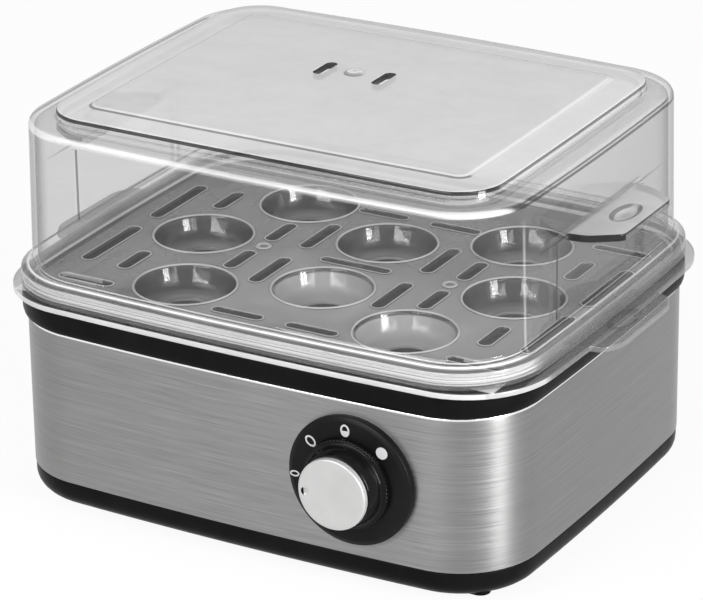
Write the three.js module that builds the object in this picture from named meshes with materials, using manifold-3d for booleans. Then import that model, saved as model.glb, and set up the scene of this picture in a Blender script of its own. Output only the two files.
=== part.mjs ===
// Electric egg boiler for eight eggs: a steel-wrapped base with a heated water pan, a drop-in egg tray
// and a clear lid. Millimetres, +Z up. The body is centred on its plan and stands on its feet at z = 0.
import * as THREE from 'three';
import { mergeVertices } from 'three/addons/utils/BufferGeometryUtils.js';
import Module from 'manifold-3d';

const wasm = await Module();
wasm.setup();

// Plan of the body: a rounded rectangle whose sides bow out a little
const bodyLength = 230;
const bodyDepth = 189.7;
const bodyCornerRadius = 34.2;
const bodyFrontBow = 1.75;
const bodySideBow = 1;

// Gaps and overruns
const seatGap = 0.3;
const cutOverrun = 2;
const fuseDepth = 0.8;

// Heights of the stack
const footHeight = 3;
const basePanHeight = 11.7;
const shellHeight = 65.3;
const rimHeight = 9.4;
const trayFlangeThickness = 2.4;

// Black moulded base
const basePanInset = 0.3;
const basePanWall = 2.4;
const baseEdgeInset = 9;
const baseEdgeRise = 8;
const baseUpstandHeight = 6;
const baseUpstandWall = 2;
const baseTowerRadius = 5.6;
const baseTowerHeight = 10;
const baseCounterboreDepth = 4.4;

// Steel wrap
const shellSheet = 0.8;
const shellHem = 0.4;

// Black top rim with the posts that reach down to the base
const rimOutset = 2;
const rimLowerRounding = 2.5;
const rimUpperRounding = 1.2;
const rimPlate = 3;
const rimInnerInset = 17;
const rimTuckDepth = 6;
const rimTuckWall = 2.2;
const postInset = 8;
const postRadius = 3.8;
const clipBossRadius = 3.6;
const clipBossInset = 7.6;

// Water pan, its gasket and the four clips that hold it up against the rim
const gasketThickness = 1.2;
const gasketOuterInset = 12.6;
const gasketInnerInset = 16.4;
const panSheet = 0.8;
const panFlangeInset = 12.4;
const panWallInset = 18.3;
const panDraft = 0.4;
const panDepth = 17.5;
const panFloorRounding = 6;
const clipWidth = 11;
const clipThickness = 1.2;
const clipCorner = 2.2;

// Heat spreader, element and the strap with the safety cut-out
const spreaderRadius = 56;
const spreaderThickness = 3;
const elementRingRadius = 43;
const elementRadius = 3.3;
const elementGapAngle = 50;
const elementDrop = 9;
const elementColdEnd = 3;
const elementBendRadius = 6.6;
const elementPinRadius = 1.3;
const elementPinLength = 7;
const elementLandWidth = 8;
const elementLandHeight = 1;
const strapLength = 62;
const strapWidth = 22;
const strapThickness = 1.2;
const studSpacing = 50;
const studRadius = 1.9;
const nutRadius = 4;
const nutHeight = 2.8;
const cutoutCapRadius = 8.6;
const cutoutCapHeight = 3;
const cutoutBodyRadius = 7.2;
const cutoutBodyHeight = 7;
const fuseRadius = 2;
const fuseLength = 22;
const fuseLeadRadius = 0.6;
const fuseLeadLength = 5;
const fuseRingGap = 18;
const earthStudRingGap = 16;

// Control on the front wall
const controlEndInset = 63.6;
const controlWidth = 34;
const controlHeight = 32;
const controlBoxDepth = 22;
const controlCorner = 4;
const controlStandOff = 1.2;
const bladeWidth = 6.3;
const bladeThickness = 0.8;
const bladeLength = 8;
const controlBladeShares = [-0.6, 0.6];
const bushRadius = 5;
const bushProud = 3.2;
const bushNutRadius = 7.6;
const bushNutThickness = 2.4;
const shaftRadius = 3;
const shaftFlat = 0.9;
const shaftSeatDepth = 5;

// Dial plate and knob
const dialMarginBelow = 5.1;
const dialMarginAbove = 5.2;
const dialProud = 2.4;
const dialBevelWidth = 2;
const dialBevelDepth = 0.9;
const knobGap = 0.6;
const knobSkirtRadius = 18.8;
const knobSkirtHeight = 2.2;
const knobRibDepth = 0.5;
const knobRibShares = [[0, 0], [0.5, 1]];
const knobNeckRadius = 17.4;
const knobBodyRadius = 16.8;
const knobBodyTopRadius = 15.6;
const knobBodyHeight = 7.6;
const knobCavityRadius = 11;
const knobCavityDepth = 4.6;
const capRadius = 15.7;
const capHeight = 2.6;
const capRounding = 0.7;
const capSpigotRadius = 9;
const capSpigotLength = 2;
const knobHubWeb = 1;
const pointerRadius = 1.3;
const pointerOffset = 12;
const pointerDepth = 0.6;
const knobOffAngle = -94;

// Feet and screws
const footRadius = 8;
const footStemRadius = 3;
const footBarbRadius = 4.2;
const footBarbHeight = 1.6;
const footEndInset = 37;
const footFrontInset = 42.85;
const screwRadius = 1.6;
const screwHeadRadius = 3.4;
const screwHeadHeight = 2.2;
const screwRecessReach = 2.2;
const screwSlotWidth = 0.9;
const screwSlotDepth = 1;
const baseScrewLength = 18;
const clipScrewLength = 5.6;
const blockScrewLength = 13;

// Rear cord inlet and the terminal block inside
const inletEndInset = 57;
const inletZ = 30;
const bushingNeckRadius = 5.6;
const bushingBoreRadius = 3.6;
const bushingCollarRadius = 8;
const bushingCollarHeight = 2.6;
const bushingInnerHeight = 2;
const blockLength = 34;
const blockWidth = 15;
const blockHeight = 13;
const blockBackInset = 32.85;
const blockBossRadius = 5;
const blockHoleRadius = 1.9;
const blockHoleDepth = 5;
const blockPitch = 10;
const wireRadius = 1.2;
const wireLead = 6;

// Egg tray
const trayEndOutset = 6;
const trayFrontOutset = 2.95;
const trayCornerGrowth = 2.8;
const trayEdgeRounding = 0.8;
const trayDeckDrop = 1;
const trayDeckThickness = 2;
const trayUpstandHeight = 3;
const trayUpstandWall = 2;
const trayUpstandRounding = 0.5;
const trayDishSlope = 1.4;
const trayRibDepth = 4;
const trayRibWall = 1.6;
const trayFitGap = 0.6;
const wellRadius = 20.2;
const wellBeadWidth = 1.5;
const wellBeadHeight = 0.9;
const wellDepth = 10;
const wellWall = 1.6;
const wellFloorRadius = 10.5;
const wellTurnShares = [0.72, 0.8];
const wellCornerEndInset = 64.5;
const wellCornerFrontInset = 45.35;
const wellSideEndInset = 42.5;
const wellMiddleY = 26.5;
const slotWidth = 5;
const slotEndSteps = 2;
const outerSlotLength = 39;
const outerSlotEndInset = 14;
const outerSlotY = 26;
const cornerSlotLength = 19;
const cornerSlotEndInset = 32;
const cornerSlotWellGap = 12.5;
const besideWellSlotLength = 19;
const besideWellSlotGap = 27.5;
const besideWellSlotY = 16.5;
const middleSlotLength = 27;
const middleSlotX = 28.3;
const middleSlotY = 20.3;
const edgeSlotWidth = 4;
const edgeSlotLength = 24;
const edgeSlotEndInset = 26;
const edgeSlotFrontInset = 31.55;
const rowSlotLength = 22;
const rowSlotX = 17;
const frontSlotInset = 30.35;
const backSlotInset = 40.85;
const centreSlotLength = 31;
const dimpleRadius = 3.6;
const dimpleHeight = 0.7;
const dimpleWellGap = 29;

// Hand tabs of the tray and of the lid
const tabProud = 9.6;
const tabOuterHalf = 20.5;
const tabRootHalf = 30;
const lidTabKneeBack = 12;
const trayTabKneeBack = 4;
const tabKneeIn = 1.2;
const tabDishInset = 9.6;
const tabDishLength = 21;
const tabDishWidth = 10;
const tabDishDepth = 1.2;

// Clear lid
const lidWall = 2.2;
const lidSkirtOutset = 2;
const lidSkirtHeight = 7.1;
const lidShoulderRounding = 1;
const lidShoulderRise = 3.4;
const lidWallFootInset = 2.9;
const lidWallTopInset = 3.9;
const lidWallTop = 66.7;
const lidEdgeRounding = 3.2;
const plateauEndInset = 15.75;
const plateauFrontInset = 16.5;
const plateauCornerRadius = 19.2;
const plateauBow = 0.4;
const plateauRise = 3.8;
const plateauRounding = 1;
const panelInset = 13;
const panelSlope = 2.4;
const panelRise = 0.9;
const lidTabHeight = 44.7;
const lidTabThickness = 3;
const pocketHalfWidth = 36.5;
const pocketDepth = 1.6;
const pocketFoot = 11;
const ventX = 13.6;
const ventCentreX = -9.4;
const ventCentreY = 17.5;
const ventLength = 15;
const ventWidth = 4.6;
const ventBossRadius = 4.4;
const ventBossHeight = 1.2;

// How finely round shapes are cut
const cornerSteps = 5;
const sideSteps = 3;
const turnSteps = 2;
const hexSides = 6;
const smallRoundSides = 8;
const middleRoundSides = 12;
const roundSides = 30;
const wellSides = 16;
const knobRibs = 36;
const wireSteps = 8;
const wireSides = 5;
const elementSteps = 40;
const elementRingSteps = 24;
const elementBendSteps = 3;
const elementSides = 6;
const squareTurn = Math.PI / 2;
const fullTurn = 2 * Math.PI;

// Levels worked out from the heights
const baseBottom = footHeight + seatGap;
const baseTop = baseBottom + basePanHeight;
const baseFloor = baseBottom + basePanWall;
const shellBottom = baseTop + seatGap;
const shellTop = shellBottom + shellHeight;
const rimBottom = shellTop + seatGap;
const rimTop = rimBottom + rimHeight;
const rimUnderside = rimTop - rimPlate;
const gasketTop = rimUnderside - seatGap;
const panTop = gasketTop - gasketThickness - seatGap;
const panFloor = panTop - panDepth;
const spreaderTop = panFloor - panSheet - seatGap;
const spreaderUnderside = spreaderTop - spreaderThickness;
const clipTop = panTop - panSheet - seatGap;
const trayBottom = rimTop + seatGap;
const trayFlangeTop = trayBottom + trayFlangeThickness;
const deckTop = trayFlangeTop - trayDeckDrop;
const deckUnderside = deckTop - trayDeckThickness;
const lidBottom = trayFlangeTop + seatGap;
const lidEdgeTop = lidBottom + lidWallTop + lidEdgeRounding;
const plateauTop = lidEdgeTop + plateauRise;

// Outlines that the sections of the casings follow
const bodyOutline = {
  halfLength: bodyLength / 2,
  halfDepth: bodyDepth / 2,
  cornerRadius: bodyCornerRadius,
  frontBow: bodyFrontBow,
  sideBow: bodySideBow,
};
const trayOutline = {
  ...bodyOutline,
  halfLength: bodyOutline.halfLength + trayEndOutset,
  halfDepth: bodyOutline.halfDepth + trayFrontOutset,
  cornerRadius: bodyCornerRadius + trayCornerGrowth,
};
const plateauOutline = {
  halfLength: bodyOutline.halfLength - plateauEndInset,
  halfDepth: bodyOutline.halfDepth - plateauFrontInset,
  cornerRadius: plateauCornerRadius,
  frontBow: plateauBow,
  sideBow: plateauBow,
};

// Places worked out from the outlines
const controlX = bodyOutline.halfLength - controlEndInset;
const dialRadius = (shellHeight - dialMarginBelow - dialMarginAbove) / 2;
const controlZ = shellBottom + dialMarginBelow + dialRadius;
const inletX = inletEndInset - bodyOutline.halfLength;
const blockBackOffset = bodyOutline.halfDepth - blockBackInset;
const footX = bodyOutline.halfLength - footEndInset;
const footY = bodyOutline.halfDepth - footFrontInset;
const fuseOffset = elementRingRadius - fuseRingGap;
const earthStudOffset = elementRingRadius - earthStudRingGap;
const wellCornerX = bodyOutline.halfLength - wellCornerEndInset;
const wellCornerY = bodyOutline.halfDepth - wellCornerFrontInset;
const wellSideX = bodyOutline.halfLength - wellSideEndInset;
const tabReachX = trayOutline.halfLength + tabProud;
const tabDishX = tabReachX - tabDishInset;

// Materials
const brushedSteel = new THREE.MeshStandardMaterial({ color: 0x9d9d9b, roughness: 0.38, metalness: 1 });
const zincSteel = new THREE.MeshStandardMaterial({ color: 0xb4b6b8, roughness: 0.45, metalness: 1 });
const castAluminium = new THREE.MeshStandardMaterial({ color: 0xa9abad, roughness: 0.55, metalness: 1 });
const coatedPan = new THREE.MeshStandardMaterial({ color: 0x3a3b3c, roughness: 0.45, metalness: 0.6 });
const blackPlastic = new THREE.MeshStandardMaterial({ color: 0x141414, roughness: 0.42, metalness: 0 });
const blackRubber = new THREE.MeshStandardMaterial({ color: 0x1c1c1c, roughness: 0.85, metalness: 0 });
const greySilicone = new THREE.MeshStandardMaterial({ color: 0x8c8d8c, roughness: 0.7, metalness: 0 });
const satinCap = new THREE.MeshStandardMaterial({ color: 0xd6d6d4, roughness: 0.3, metalness: 0.6 });
const smokyTray = new THREE.MeshStandardMaterial({
  color: 0x9b9d9e, roughness: 0.12, metalness: 0, transparent: true, opacity: 0.6,
});
const clearLid = new THREE.MeshStandardMaterial({
  color: 0xe4e6e7, roughness: 0.06, metalness: 0, transparent: true, opacity: 0.3,
});
const creamCeramic = new THREE.MeshStandardMaterial({ color: 0xd9d2bf, roughness: 0.6, metalness: 0 });
const brownPhenolic = new THREE.MeshStandardMaterial({ color: 0x4a3527, roughness: 0.6, metalness: 0 });
const wireBrown = new THREE.MeshStandardMaterial({ color: 0x5b3a22, roughness: 0.6, metalness: 0 });
const wireBlue = new THREE.MeshStandardMaterial({ color: 0x2c4f8c, roughness: 0.6, metalness: 0 });
const wireGreen = new THREE.MeshStandardMaterial({ color: 0x6f8f2e, roughness: 0.6, metalness: 0 });

// Solids: every shape becomes one closed mesh of shared vertices with its faces pointing out
function closedMesh(geometry) {
  if (geometry.userData.closed) return geometry;
  geometry.deleteAttribute('normal');
  geometry.deleteAttribute('uv');
  geometry.clearGroups();
  const merged = mergeVertices(geometry);
  const corners = merged.index.array;
  const kept = [];
  for (let face = 0; face < corners.length; face += 3) {
    const [a, b, c] = [corners[face], corners[face + 1], corners[face + 2]];
    if (a !== b && b !== c && c !== a) kept.push(a, b, c);
  }
  const place = merged.getAttribute('position');
  const [p, q, r] = [new THREE.Vector3(), new THREE.Vector3(), new THREE.Vector3()];
  let volume = 0;
  for (let face = 0; face < kept.length; face += 3) {
    p.fromBufferAttribute(place, kept[face]);
    q.fromBufferAttribute(place, kept[face + 1]);
    r.fromBufferAttribute(place, kept[face + 2]);
    volume += p.dot(q.cross(r));
  }
  if (volume < 0) kept.reverse();
  merged.setIndex(kept);
  merged.userData.closed = true;
  return merged;
}

function toManifold(geometry) {
  const mesh = closedMesh(geometry);
  return new wasm.Manifold(new wasm.Mesh({
    numProp: 3,
    vertProperties: Float32Array.from(mesh.getAttribute('position').array),
    triVerts: Uint32Array.from(mesh.index.array),
  }));
}

function toGeometry(manifold) {
  const mesh = manifold.getMesh();
  const geometry = new THREE.BufferGeometry();
  geometry.setAttribute('position', new THREE.BufferAttribute(Float32Array.from(mesh.vertProperties), 3));
  geometry.setIndex(Array.from(mesh.triVerts));
  geometry.userData.closed = true;
  return geometry;
}

function join(first, ...others) {
  let whole = toManifold(first);
  for (const other of others) whole = whole.add(toManifold(other));
  return toGeometry(whole);
}

function cut(first, ...tools) {
  let whole = toManifold(first);
  for (const tool of tools) whole = whole.subtract(toManifold(tool));
  return toGeometry(whole);
}

// One level of a casing: an outline drawn in by an inset, at a height
const at = (inset, z, outline = bodyOutline) => ({ inset, z, outline });

// The levels of a quarter turn between two levels; it leaves the first one upright or level
function turn(from, to, leaves) {
  const levels = [];
  for (let step = 1; step < turnSteps; step += 1) {
    const angle = (squareTurn * step) / turnSteps;
    const early = Math.sin(angle);
    const late = 1 - Math.cos(angle);
    const inset = from.inset + (to.inset - from.inset) * (leaves === 'upright' ? late : early);
    const z = from.z + (to.z - from.z) * (leaves === 'upright' ? early : late);
    levels.push(at(inset, z, from.outline));
  }
  return levels;
}

function ringPoints({ inset, z, outline }) {
  const centreX = outline.halfLength - outline.sideBow - outline.cornerRadius;
  const centreY = outline.halfDepth - outline.frontBow - outline.cornerRadius;
  const radius = outline.cornerRadius - inset;
  const points = [];
  for (let corner = 0; corner < 4; corner += 1) {
    const signX = corner === 0 || corner === 3 ? 1 : -1;
    const signY = corner < 2 ? 1 : -1;
    for (let step = 0; step <= cornerSteps; step += 1) {
      const angle = squareTurn * (corner + step / cornerSteps);
      const x = signX * centreX + radius * Math.cos(angle);
      const y = signY * centreY + radius * Math.sin(angle);
      points.push(new THREE.Vector3(x, y, z));
    }
    const normal = squareTurn * (corner + 1);
    const alongY = corner % 2 === 1;
    const bow = alongY ? outline.sideBow : outline.frontBow;
    const start = points[points.length - 1];
    const run = 2 * (alongY ? centreY : centreX);
    for (let step = 1; step < sideSteps; step += 1) {
      const share = step / sideSteps;
      const out = bow * (1 - (2 * share - 1) ** 2);
      const x = start.x + out * Math.cos(normal) - run * share * Math.sin(normal);
      const y = start.y + out * Math.sin(normal) + run * share * Math.cos(normal);
      points.push(new THREE.Vector3(x, y, z));
    }
  }
  return points;
}

// A casing through its levels: outside upwards, inside downwards. It is capped, or closes on itself
function casing(levels, closesOnItself = false) {
  const rings = levels.map(ringPoints);
  const count = rings[0].length;
  const points = rings.flat();
  const faces = [];
  const spans = closesOnItself ? rings.length : rings.length - 1;
  for (let ring = 0; ring < spans; ring += 1) {
    const lower = ring * count;
    const upper = ((ring + 1) % rings.length) * count;
    for (let step = 0; step < count; step += 1) {
      const next = (step + 1) % count;
      faces.push(lower + step, lower + next, upper + next);
      faces.push(lower + step, upper + next, upper + step);
    }
  }
  if (!closesOnItself) {
    const last = (rings.length - 1) * count;
    const start = points.push(new THREE.Vector3(0, 0, levels[0].z)) - 1;
    const end = points.push(new THREE.Vector3(0, 0, levels[levels.length - 1].z)) - 1;
    for (let step = 0; step < count; step += 1) {
      const next = (step + 1) % count;
      faces.push(start, next, step);
      faces.push(end, last + step, last + next);
    }
  }
  const geometry = new THREE.BufferGeometry().setFromPoints(points);
  geometry.setIndex(faces);
  return geometry;
}

// Turned shapes stand along +Z. Their profile is pairs of radius and height
function turned(profile, sides = roundSides) {
  const points = profile.map(([radius, height]) => new THREE.Vector2(radius, height));
  const geometry = new THREE.LatheGeometry(points, sides);
  geometry.rotateX(squareTurn);
  return closedMesh(geometry);
}

function rod(radius, bottom, top, sides = smallRoundSides) {
  return turned([[0, bottom], [radius, bottom], [radius, top], [0, top]], sides);
}

function box(fromX, toX, fromY, toY, fromZ, toZ) {
  const geometry = new THREE.BoxGeometry(toX - fromX, toY - fromY, toZ - fromZ);
  geometry.translate((fromX + toX) / 2, (fromY + toY) / 2, (fromZ + toZ) / 2);
  return closedMesh(geometry);
}

function extruded(shape, fromZ, toZ, curveSegments = turnSteps) {
  const depth = toZ - fromZ;
  const geometry = new THREE.ExtrudeGeometry(shape, { depth, bevelEnabled: false, curveSegments });
  geometry.translate(0, 0, fromZ);
  return closedMesh(geometry);
}

function polygon(points) {
  return new THREE.Shape(points.map(([x, y]) => new THREE.Vector2(x, y)));
}

// A slot with round ends, centred on its place
function slotShape(x, y, length, width, alongY = false) {
  const half = (length - width) / 2;
  const shape = new THREE.Shape();
  if (alongY) {
    shape.absarc(x, y + half, width / 2, 0, Math.PI, false);
    shape.absarc(x, y - half, width / 2, Math.PI, fullTurn, false);
  } else {
    shape.absarc(x + half, y, width / 2, -squareTurn, squareTurn, false);
    shape.absarc(x - half, y, width / 2, squareTurn, squareTurn + Math.PI, false);
  }
  shape.closePath();
  return shape;
}

function hexNut(across, bore, bottom, top, boreSides = smallRoundSides) {
  const outer = rod(across, bottom, top, hexSides);
  return cut(outer, rod(bore, bottom - cutOverrun, top + cutOverrun, boreSides));
}

// Turned shapes of the control lie along -Y, out of the front wall
function ontoFront(geometry, x = controlX, z = controlZ) {
  const placed = geometry.clone();
  placed.rotateX(squareTurn);
  placed.translate(x, 0, z);
  return placed;
}

// A round wire or rod along a curve through its points
function tube(points, radius, steps, sides) {
  const curve = new THREE.CatmullRomCurve3(points.map((p) => new THREE.Vector3(...p)), false, 'centripetal');
  const ring = [];
  for (let side = 0; side < sides; side += 1) {
    const angle = (fullTurn * side) / sides;
    ring.push([radius * Math.cos(angle), radius * Math.sin(angle)]);
  }
  const settings = { steps, extrudePath: curve, bevelEnabled: false };
  return closedMesh(new THREE.ExtrudeGeometry(polygon(ring), settings));
}

// Groups for the pieces that stay together
const eggBoiler = new THREE.Group();
const base = new THREE.Group();
const knob = new THREE.Group();
eggBoiler.add(base, knob);

function addPiece(group, name, geometry, material) {
  const mesh = new THREE.Mesh(geometry, material);
  mesh.name = name;
  group.add(mesh);
  return mesh;
}

// Places that several pieces share
const cornerCentreX = bodyOutline.halfLength - bodySideBow - bodyCornerRadius;
const cornerCentreY = bodyOutline.halfDepth - bodyFrontBow - bodyCornerRadius;
const postRun = (bodyCornerRadius - postInset) * Math.SQRT1_2;
const postX = cornerCentreX + postRun;
const postY = cornerCentreY + postRun;
const cornerSigns = [
  ['front_left', -1, -1],
  ['front_right', 1, -1],
  ['back_left', -1, 1],
  ['back_right', 1, 1],
];
const towerTop = baseBottom + baseTowerHeight;
const postBottom = towerTop + seatGap;
const screwSeat = baseBottom + baseCounterboreDepth;
const screwHole = screwRadius + seatGap;
const screwHeadHole = screwHeadRadius + seatGap;
const footHole = footStemRadius + seatGap;
const clipPlaces = [
  ['left', -(bodyOutline.halfLength - clipBossInset), 0],
  ['right', bodyOutline.halfLength - clipBossInset, 0],
  ['front', 0, -(bodyOutline.halfDepth - clipBossInset)],
  ['back', 0, bodyOutline.halfDepth - clipBossInset],
];

// Depth of the outline of the body at a place along its front
function frontReachAt(x) {
  const share = x / cornerCentreX;
  return bodyOutline.halfDepth - bodyFrontBow * share ** 2;
}

// The terminal block stands on a low boss of the base
const blockSeat = baseFloor + basePanWall + seatGap;
const blockPilotBottom = baseFloor - fuseDepth / 2;

// The moulded base: a dish with a rounded lower edge, an upstand inside the steel and four screw towers
function makeBasePan() {
  const lowEdge = at(baseEdgeInset, baseBottom);
  const sideFoot = at(basePanInset, baseBottom + baseEdgeRise);
  const upstandInset = shellSheet + seatGap;
  const upstandTop = baseTop + baseUpstandHeight;
  const innerInset = upstandInset + baseUpstandWall;
  const innerFoot = at(innerInset, baseBottom + baseEdgeRise);
  const floorEdge = at(baseEdgeInset + basePanWall, baseFloor);
  const dish = casing([
    lowEdge,
    ...turn(lowEdge, sideFoot, 'level'),
    sideFoot,
    at(basePanInset, baseTop),
    at(upstandInset, baseTop),
    at(upstandInset, upstandTop),
    at(innerInset, upstandTop),
    innerFoot,
    floorEdge,
  ]);
  const added = [];
  const removed = [];
  for (const [, signX, signY] of cornerSigns) {
    const [x, y] = [signX * postX, signY * postY];
    added.push(rod(baseTowerRadius, baseFloor + fuseDepth, towerTop).translate(x, y, 0));
    removed.push(rod(screwHole, baseBottom - cutOverrun, towerTop + cutOverrun).translate(x, y, 0));
    removed.push(rod(screwHeadHole, baseBottom - cutOverrun, screwSeat).translate(x, y, 0));
    const stemHole = rod(footHole, baseBottom - cutOverrun, baseFloor + cutOverrun, middleRoundSides);
    removed.push(stemHole.translate(signX * footX, signY * footY, 0));
  }
  const blockBoss = rod(blockBossRadius, baseFloor - fuseDepth, blockSeat - seatGap);
  added.push(blockBoss.translate(inletX, blockBackOffset, 0));
  const blockPilot = rod(screwHole, blockPilotBottom, blockSeat + cutOverrun);
  removed.push(blockPilot.translate(inletX, blockBackOffset, 0));
  return cut(join(dish, ...added), ...removed);
}
addPiece(base, 'base_pan', makeBasePan(), blackPlastic);

// The steel wrap: one bent sheet with a hole for the control and one for the cord
function makeShell() {
  const wrap = casing([
    at(0, shellBottom),
    at(0, shellTop - shellHem),
    at(shellHem, shellTop),
    at(shellSheet, shellTop),
    at(shellSheet, shellBottom),
  ], true);
  const reach = bodyOutline.halfDepth + cutOverrun;
  const controlStart = frontReachAt(controlX) - shellSheet - cutOverrun;
  const cordStart = frontReachAt(inletX) - shellSheet - cutOverrun;
  const controlHole = rod(bushRadius + seatGap, controlStart, reach, middleRoundSides);
  const cordHole = rod(bushingNeckRadius + seatGap, -reach, -cordStart, middleRoundSides);
  return cut(wrap, ontoFront(controlHole), ontoFront(cordHole, inletX, inletZ));
}
addPiece(base, 'steel_shell', makeShell(), brushedSteel);

// The moulded top rim: a flat frame with a skirt tucked into the steel, posts and clip bosses
function makeRim() {
  const tuckInset = shellSheet + seatGap;
  const tuckBottom = rimBottom - rimTuckDepth;
  const tuckInner = tuckInset + rimTuckWall;
  const lowStart = at(0, rimBottom);
  const sideFoot = at(-rimOutset, rimBottom + rimLowerRounding);
  const sideTop = at(-rimOutset, rimTop - rimUpperRounding);
  const topEdge = at(rimUpperRounding - rimOutset, rimTop);
  const frame = casing([
    at(tuckInset, rimBottom),
    lowStart,
    ...turn(lowStart, sideFoot, 'level'),
    sideFoot,
    sideTop,
    topEdge,
    at(rimInnerInset, rimTop),
    at(rimInnerInset, rimUnderside),
    at(tuckInner, rimUnderside),
    at(tuckInner, tuckBottom),
    at(tuckInset, tuckBottom),
  ], true);
  const added = [];
  const removed = [];
  for (const [, signX, signY] of cornerSigns) {
    const [x, y] = [signX * postX, signY * postY];
    added.push(rod(postRadius, postBottom, rimUnderside + fuseDepth).translate(x, y, 0));
    const pilotTop = screwSeat + baseScrewLength + seatGap;
    removed.push(rod(screwHole, postBottom - cutOverrun, pilotTop).translate(x, y, 0));
  }
  for (const [, x, y] of clipPlaces) {
    const bossBottom = clipTop + seatGap;
    added.push(rod(clipBossRadius, bossBottom, rimUnderside + fuseDepth).translate(x, y, 0));
    const pilotTop = clipTop - clipThickness - seatGap + clipScrewLength + seatGap;
    removed.push(rod(screwHole, bossBottom - cutOverrun, pilotTop).translate(x, y, 0));
  }
  return cut(join(frame, ...added), ...removed);
}
addPiece(base, 'top_rim', makeRim(), blackPlastic);

// The water pan hangs under the rim by its flange, with a gasket between
function makePan() {
  const wallTopOut = at(panWallInset, panTop - panSheet);
  const wallFootOut = at(panWallInset + panDraft, panFloor + panFloorRounding);
  const underEdge = at(panWallInset + panDraft + panFloorRounding, panFloor - panSheet);
  const wallFootIn = at(wallFootOut.inset + panSheet, wallFootOut.z);
  const floorEdge = at(underEdge.inset + panSheet, panFloor);
  return casing([
    underEdge,
    ...turn(underEdge, wallFootOut, 'level'),
    wallFootOut,
    wallTopOut,
    at(panFlangeInset, panTop - panSheet),
    at(panFlangeInset, panTop),
    at(panWallInset + panSheet, panTop),
    wallFootIn,
    ...turn(wallFootIn, floorEdge, 'upright'),
    floorEdge,
  ]);
}
addPiece(base, 'water_pan', closedMesh(makePan()), coatedPan);

const gasket = casing([
  at(gasketOuterInset, gasketTop - gasketThickness),
  at(gasketOuterInset, gasketTop),
  at(gasketInnerInset, gasketTop),
  at(gasketInnerInset, gasketTop - gasketThickness),
], true);
addPiece(base, 'pan_gasket', closedMesh(gasket), greySilicone);

// A cross-head screw that points up, its head's seat at z = 0
function makeScrew(length) {
  const headBottom = -screwHeadHeight;
  const blank = turned([
    [0, headBottom],
    [screwHeadRadius, headBottom],
    [screwHeadRadius, 0],
    [screwRadius, 0],
    [screwRadius, length - screwRadius],
    [0, length],
  ], smallRoundSides);
  const arm = screwRecessReach;
  const half = screwSlotWidth / 2;
  const slotTop = headBottom + screwSlotDepth;
  const slotBottom = headBottom - cutOverrun;
  const lengthwise = box(-arm, arm, -half, half, slotBottom, slotTop);
  const crosswise = box(-half, half, -arm, arm, slotBottom, slotTop);
  return cut(blank, lengthwise, crosswise);
}

for (const [where, signX, signY] of cornerSigns) {
  const screw = addPiece(base, `base_screw_${where}`, makeScrew(baseScrewLength), zincSteel);
  screw.position.set(signX * postX, signY * postY, screwSeat - seatGap);
}

// Pan clips: a steel tongue screwed to its boss, whose tip bears under the pan's flange
function makeClip() {
  const innerReach = panWallInset - clipBossInset - seatGap;
  const outerReach = clipBossInset - shellSheet - seatGap * 2 - rimTuckWall;
  const half = clipWidth / 2;
  const outline = polygon([
    [-outerReach, -half + clipCorner],
    [clipCorner - outerReach, -half],
    [innerReach, -half],
    [innerReach, half],
    [clipCorner - outerReach, half],
    [-outerReach, half - clipCorner],
  ]);
  const tongue = extruded(outline, -clipThickness, 0);
  return cut(tongue, rod(screwHole, -clipThickness - cutOverrun, cutOverrun));
}

for (const [where, x, y] of clipPlaces) {
  const inward = Math.atan2(-y, -x);
  const clip = addPiece(base, `pan_clip_${where}`, makeClip(), zincSteel);
  clip.position.set(x, y, clipTop);
  clip.rotation.z = inward;
  const screw = addPiece(base, `pan_clip_screw_${where}`, makeScrew(clipScrewLength), zincSteel);
  screw.position.set(x, y, clipTop - clipThickness - seatGap);
}

// Rubber feet: a pad under the base with a barbed stem through its floor
function makeFoot() {
  const barbBottom = baseFloor + seatGap;
  const barbTop = barbBottom + footBarbHeight;
  return turned([
    [0, 0],
    [footRadius, 0],
    [footRadius, footHeight],
    [footStemRadius, footHeight],
    [footStemRadius, barbBottom],
    [footBarbRadius, barbBottom],
    [footStemRadius, barbTop],
    [0, barbTop],
  ], middleRoundSides);
}

for (const [where, signX, signY] of cornerSigns) {
  const foot = addPiece(base, `foot_${where}`, makeFoot(), blackRubber);
  foot.position.set(signX * footX, signY * footY, 0);
}

// Heat spreader: a cast disc with a raised land for the element, studs for the strap and the earth wire
const studBottom = spreaderUnderside - cutoutCapHeight - strapThickness - nutHeight - seatGap * 4;
const landBottom = spreaderUnderside - elementLandHeight;
const studPlaces = [
  ['left', -studSpacing / 2, 0],
  ['right', studSpacing / 2, 0],
  ['earth', 0, earthStudOffset],
];

function makeSpreader() {
  const landInner = elementRingRadius - elementLandWidth / 2;
  const landOuter = landInner + elementLandWidth;
  const disc = turned([
    [0, spreaderUnderside],
    [landInner, spreaderUnderside],
    [landInner, landBottom],
    [landOuter, landBottom],
    [landOuter, spreaderUnderside],
    [spreaderRadius, spreaderUnderside],
    [spreaderRadius, spreaderTop],
    [0, spreaderTop],
  ]);
  const studs = studPlaces.map(([, x, y]) => {
    return rod(studRadius, studBottom, spreaderUnderside + fuseDepth).translate(x, y, 0);
  });
  return join(disc, ...studs);
}
addPiece(base, 'heat_spreader', makeSpreader(), castAluminium);

// Element: most of a ring under the land, whose two cold ends turn down to their pins
const elementZ = landBottom - seatGap - elementRadius;
const elementEnds = [-1, 1].map((side) => {
  const angle = -squareTurn + side * THREE.MathUtils.degToRad(elementGapAngle / 2);
  return { x: elementRingRadius * Math.cos(angle), y: elementRingRadius * Math.sin(angle), side };
});
const elementEndTop = elementZ - elementDrop;
const elementEndBottom = elementEndTop - elementColdEnd;
const pinBottom = elementEndBottom - elementPinLength;

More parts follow.
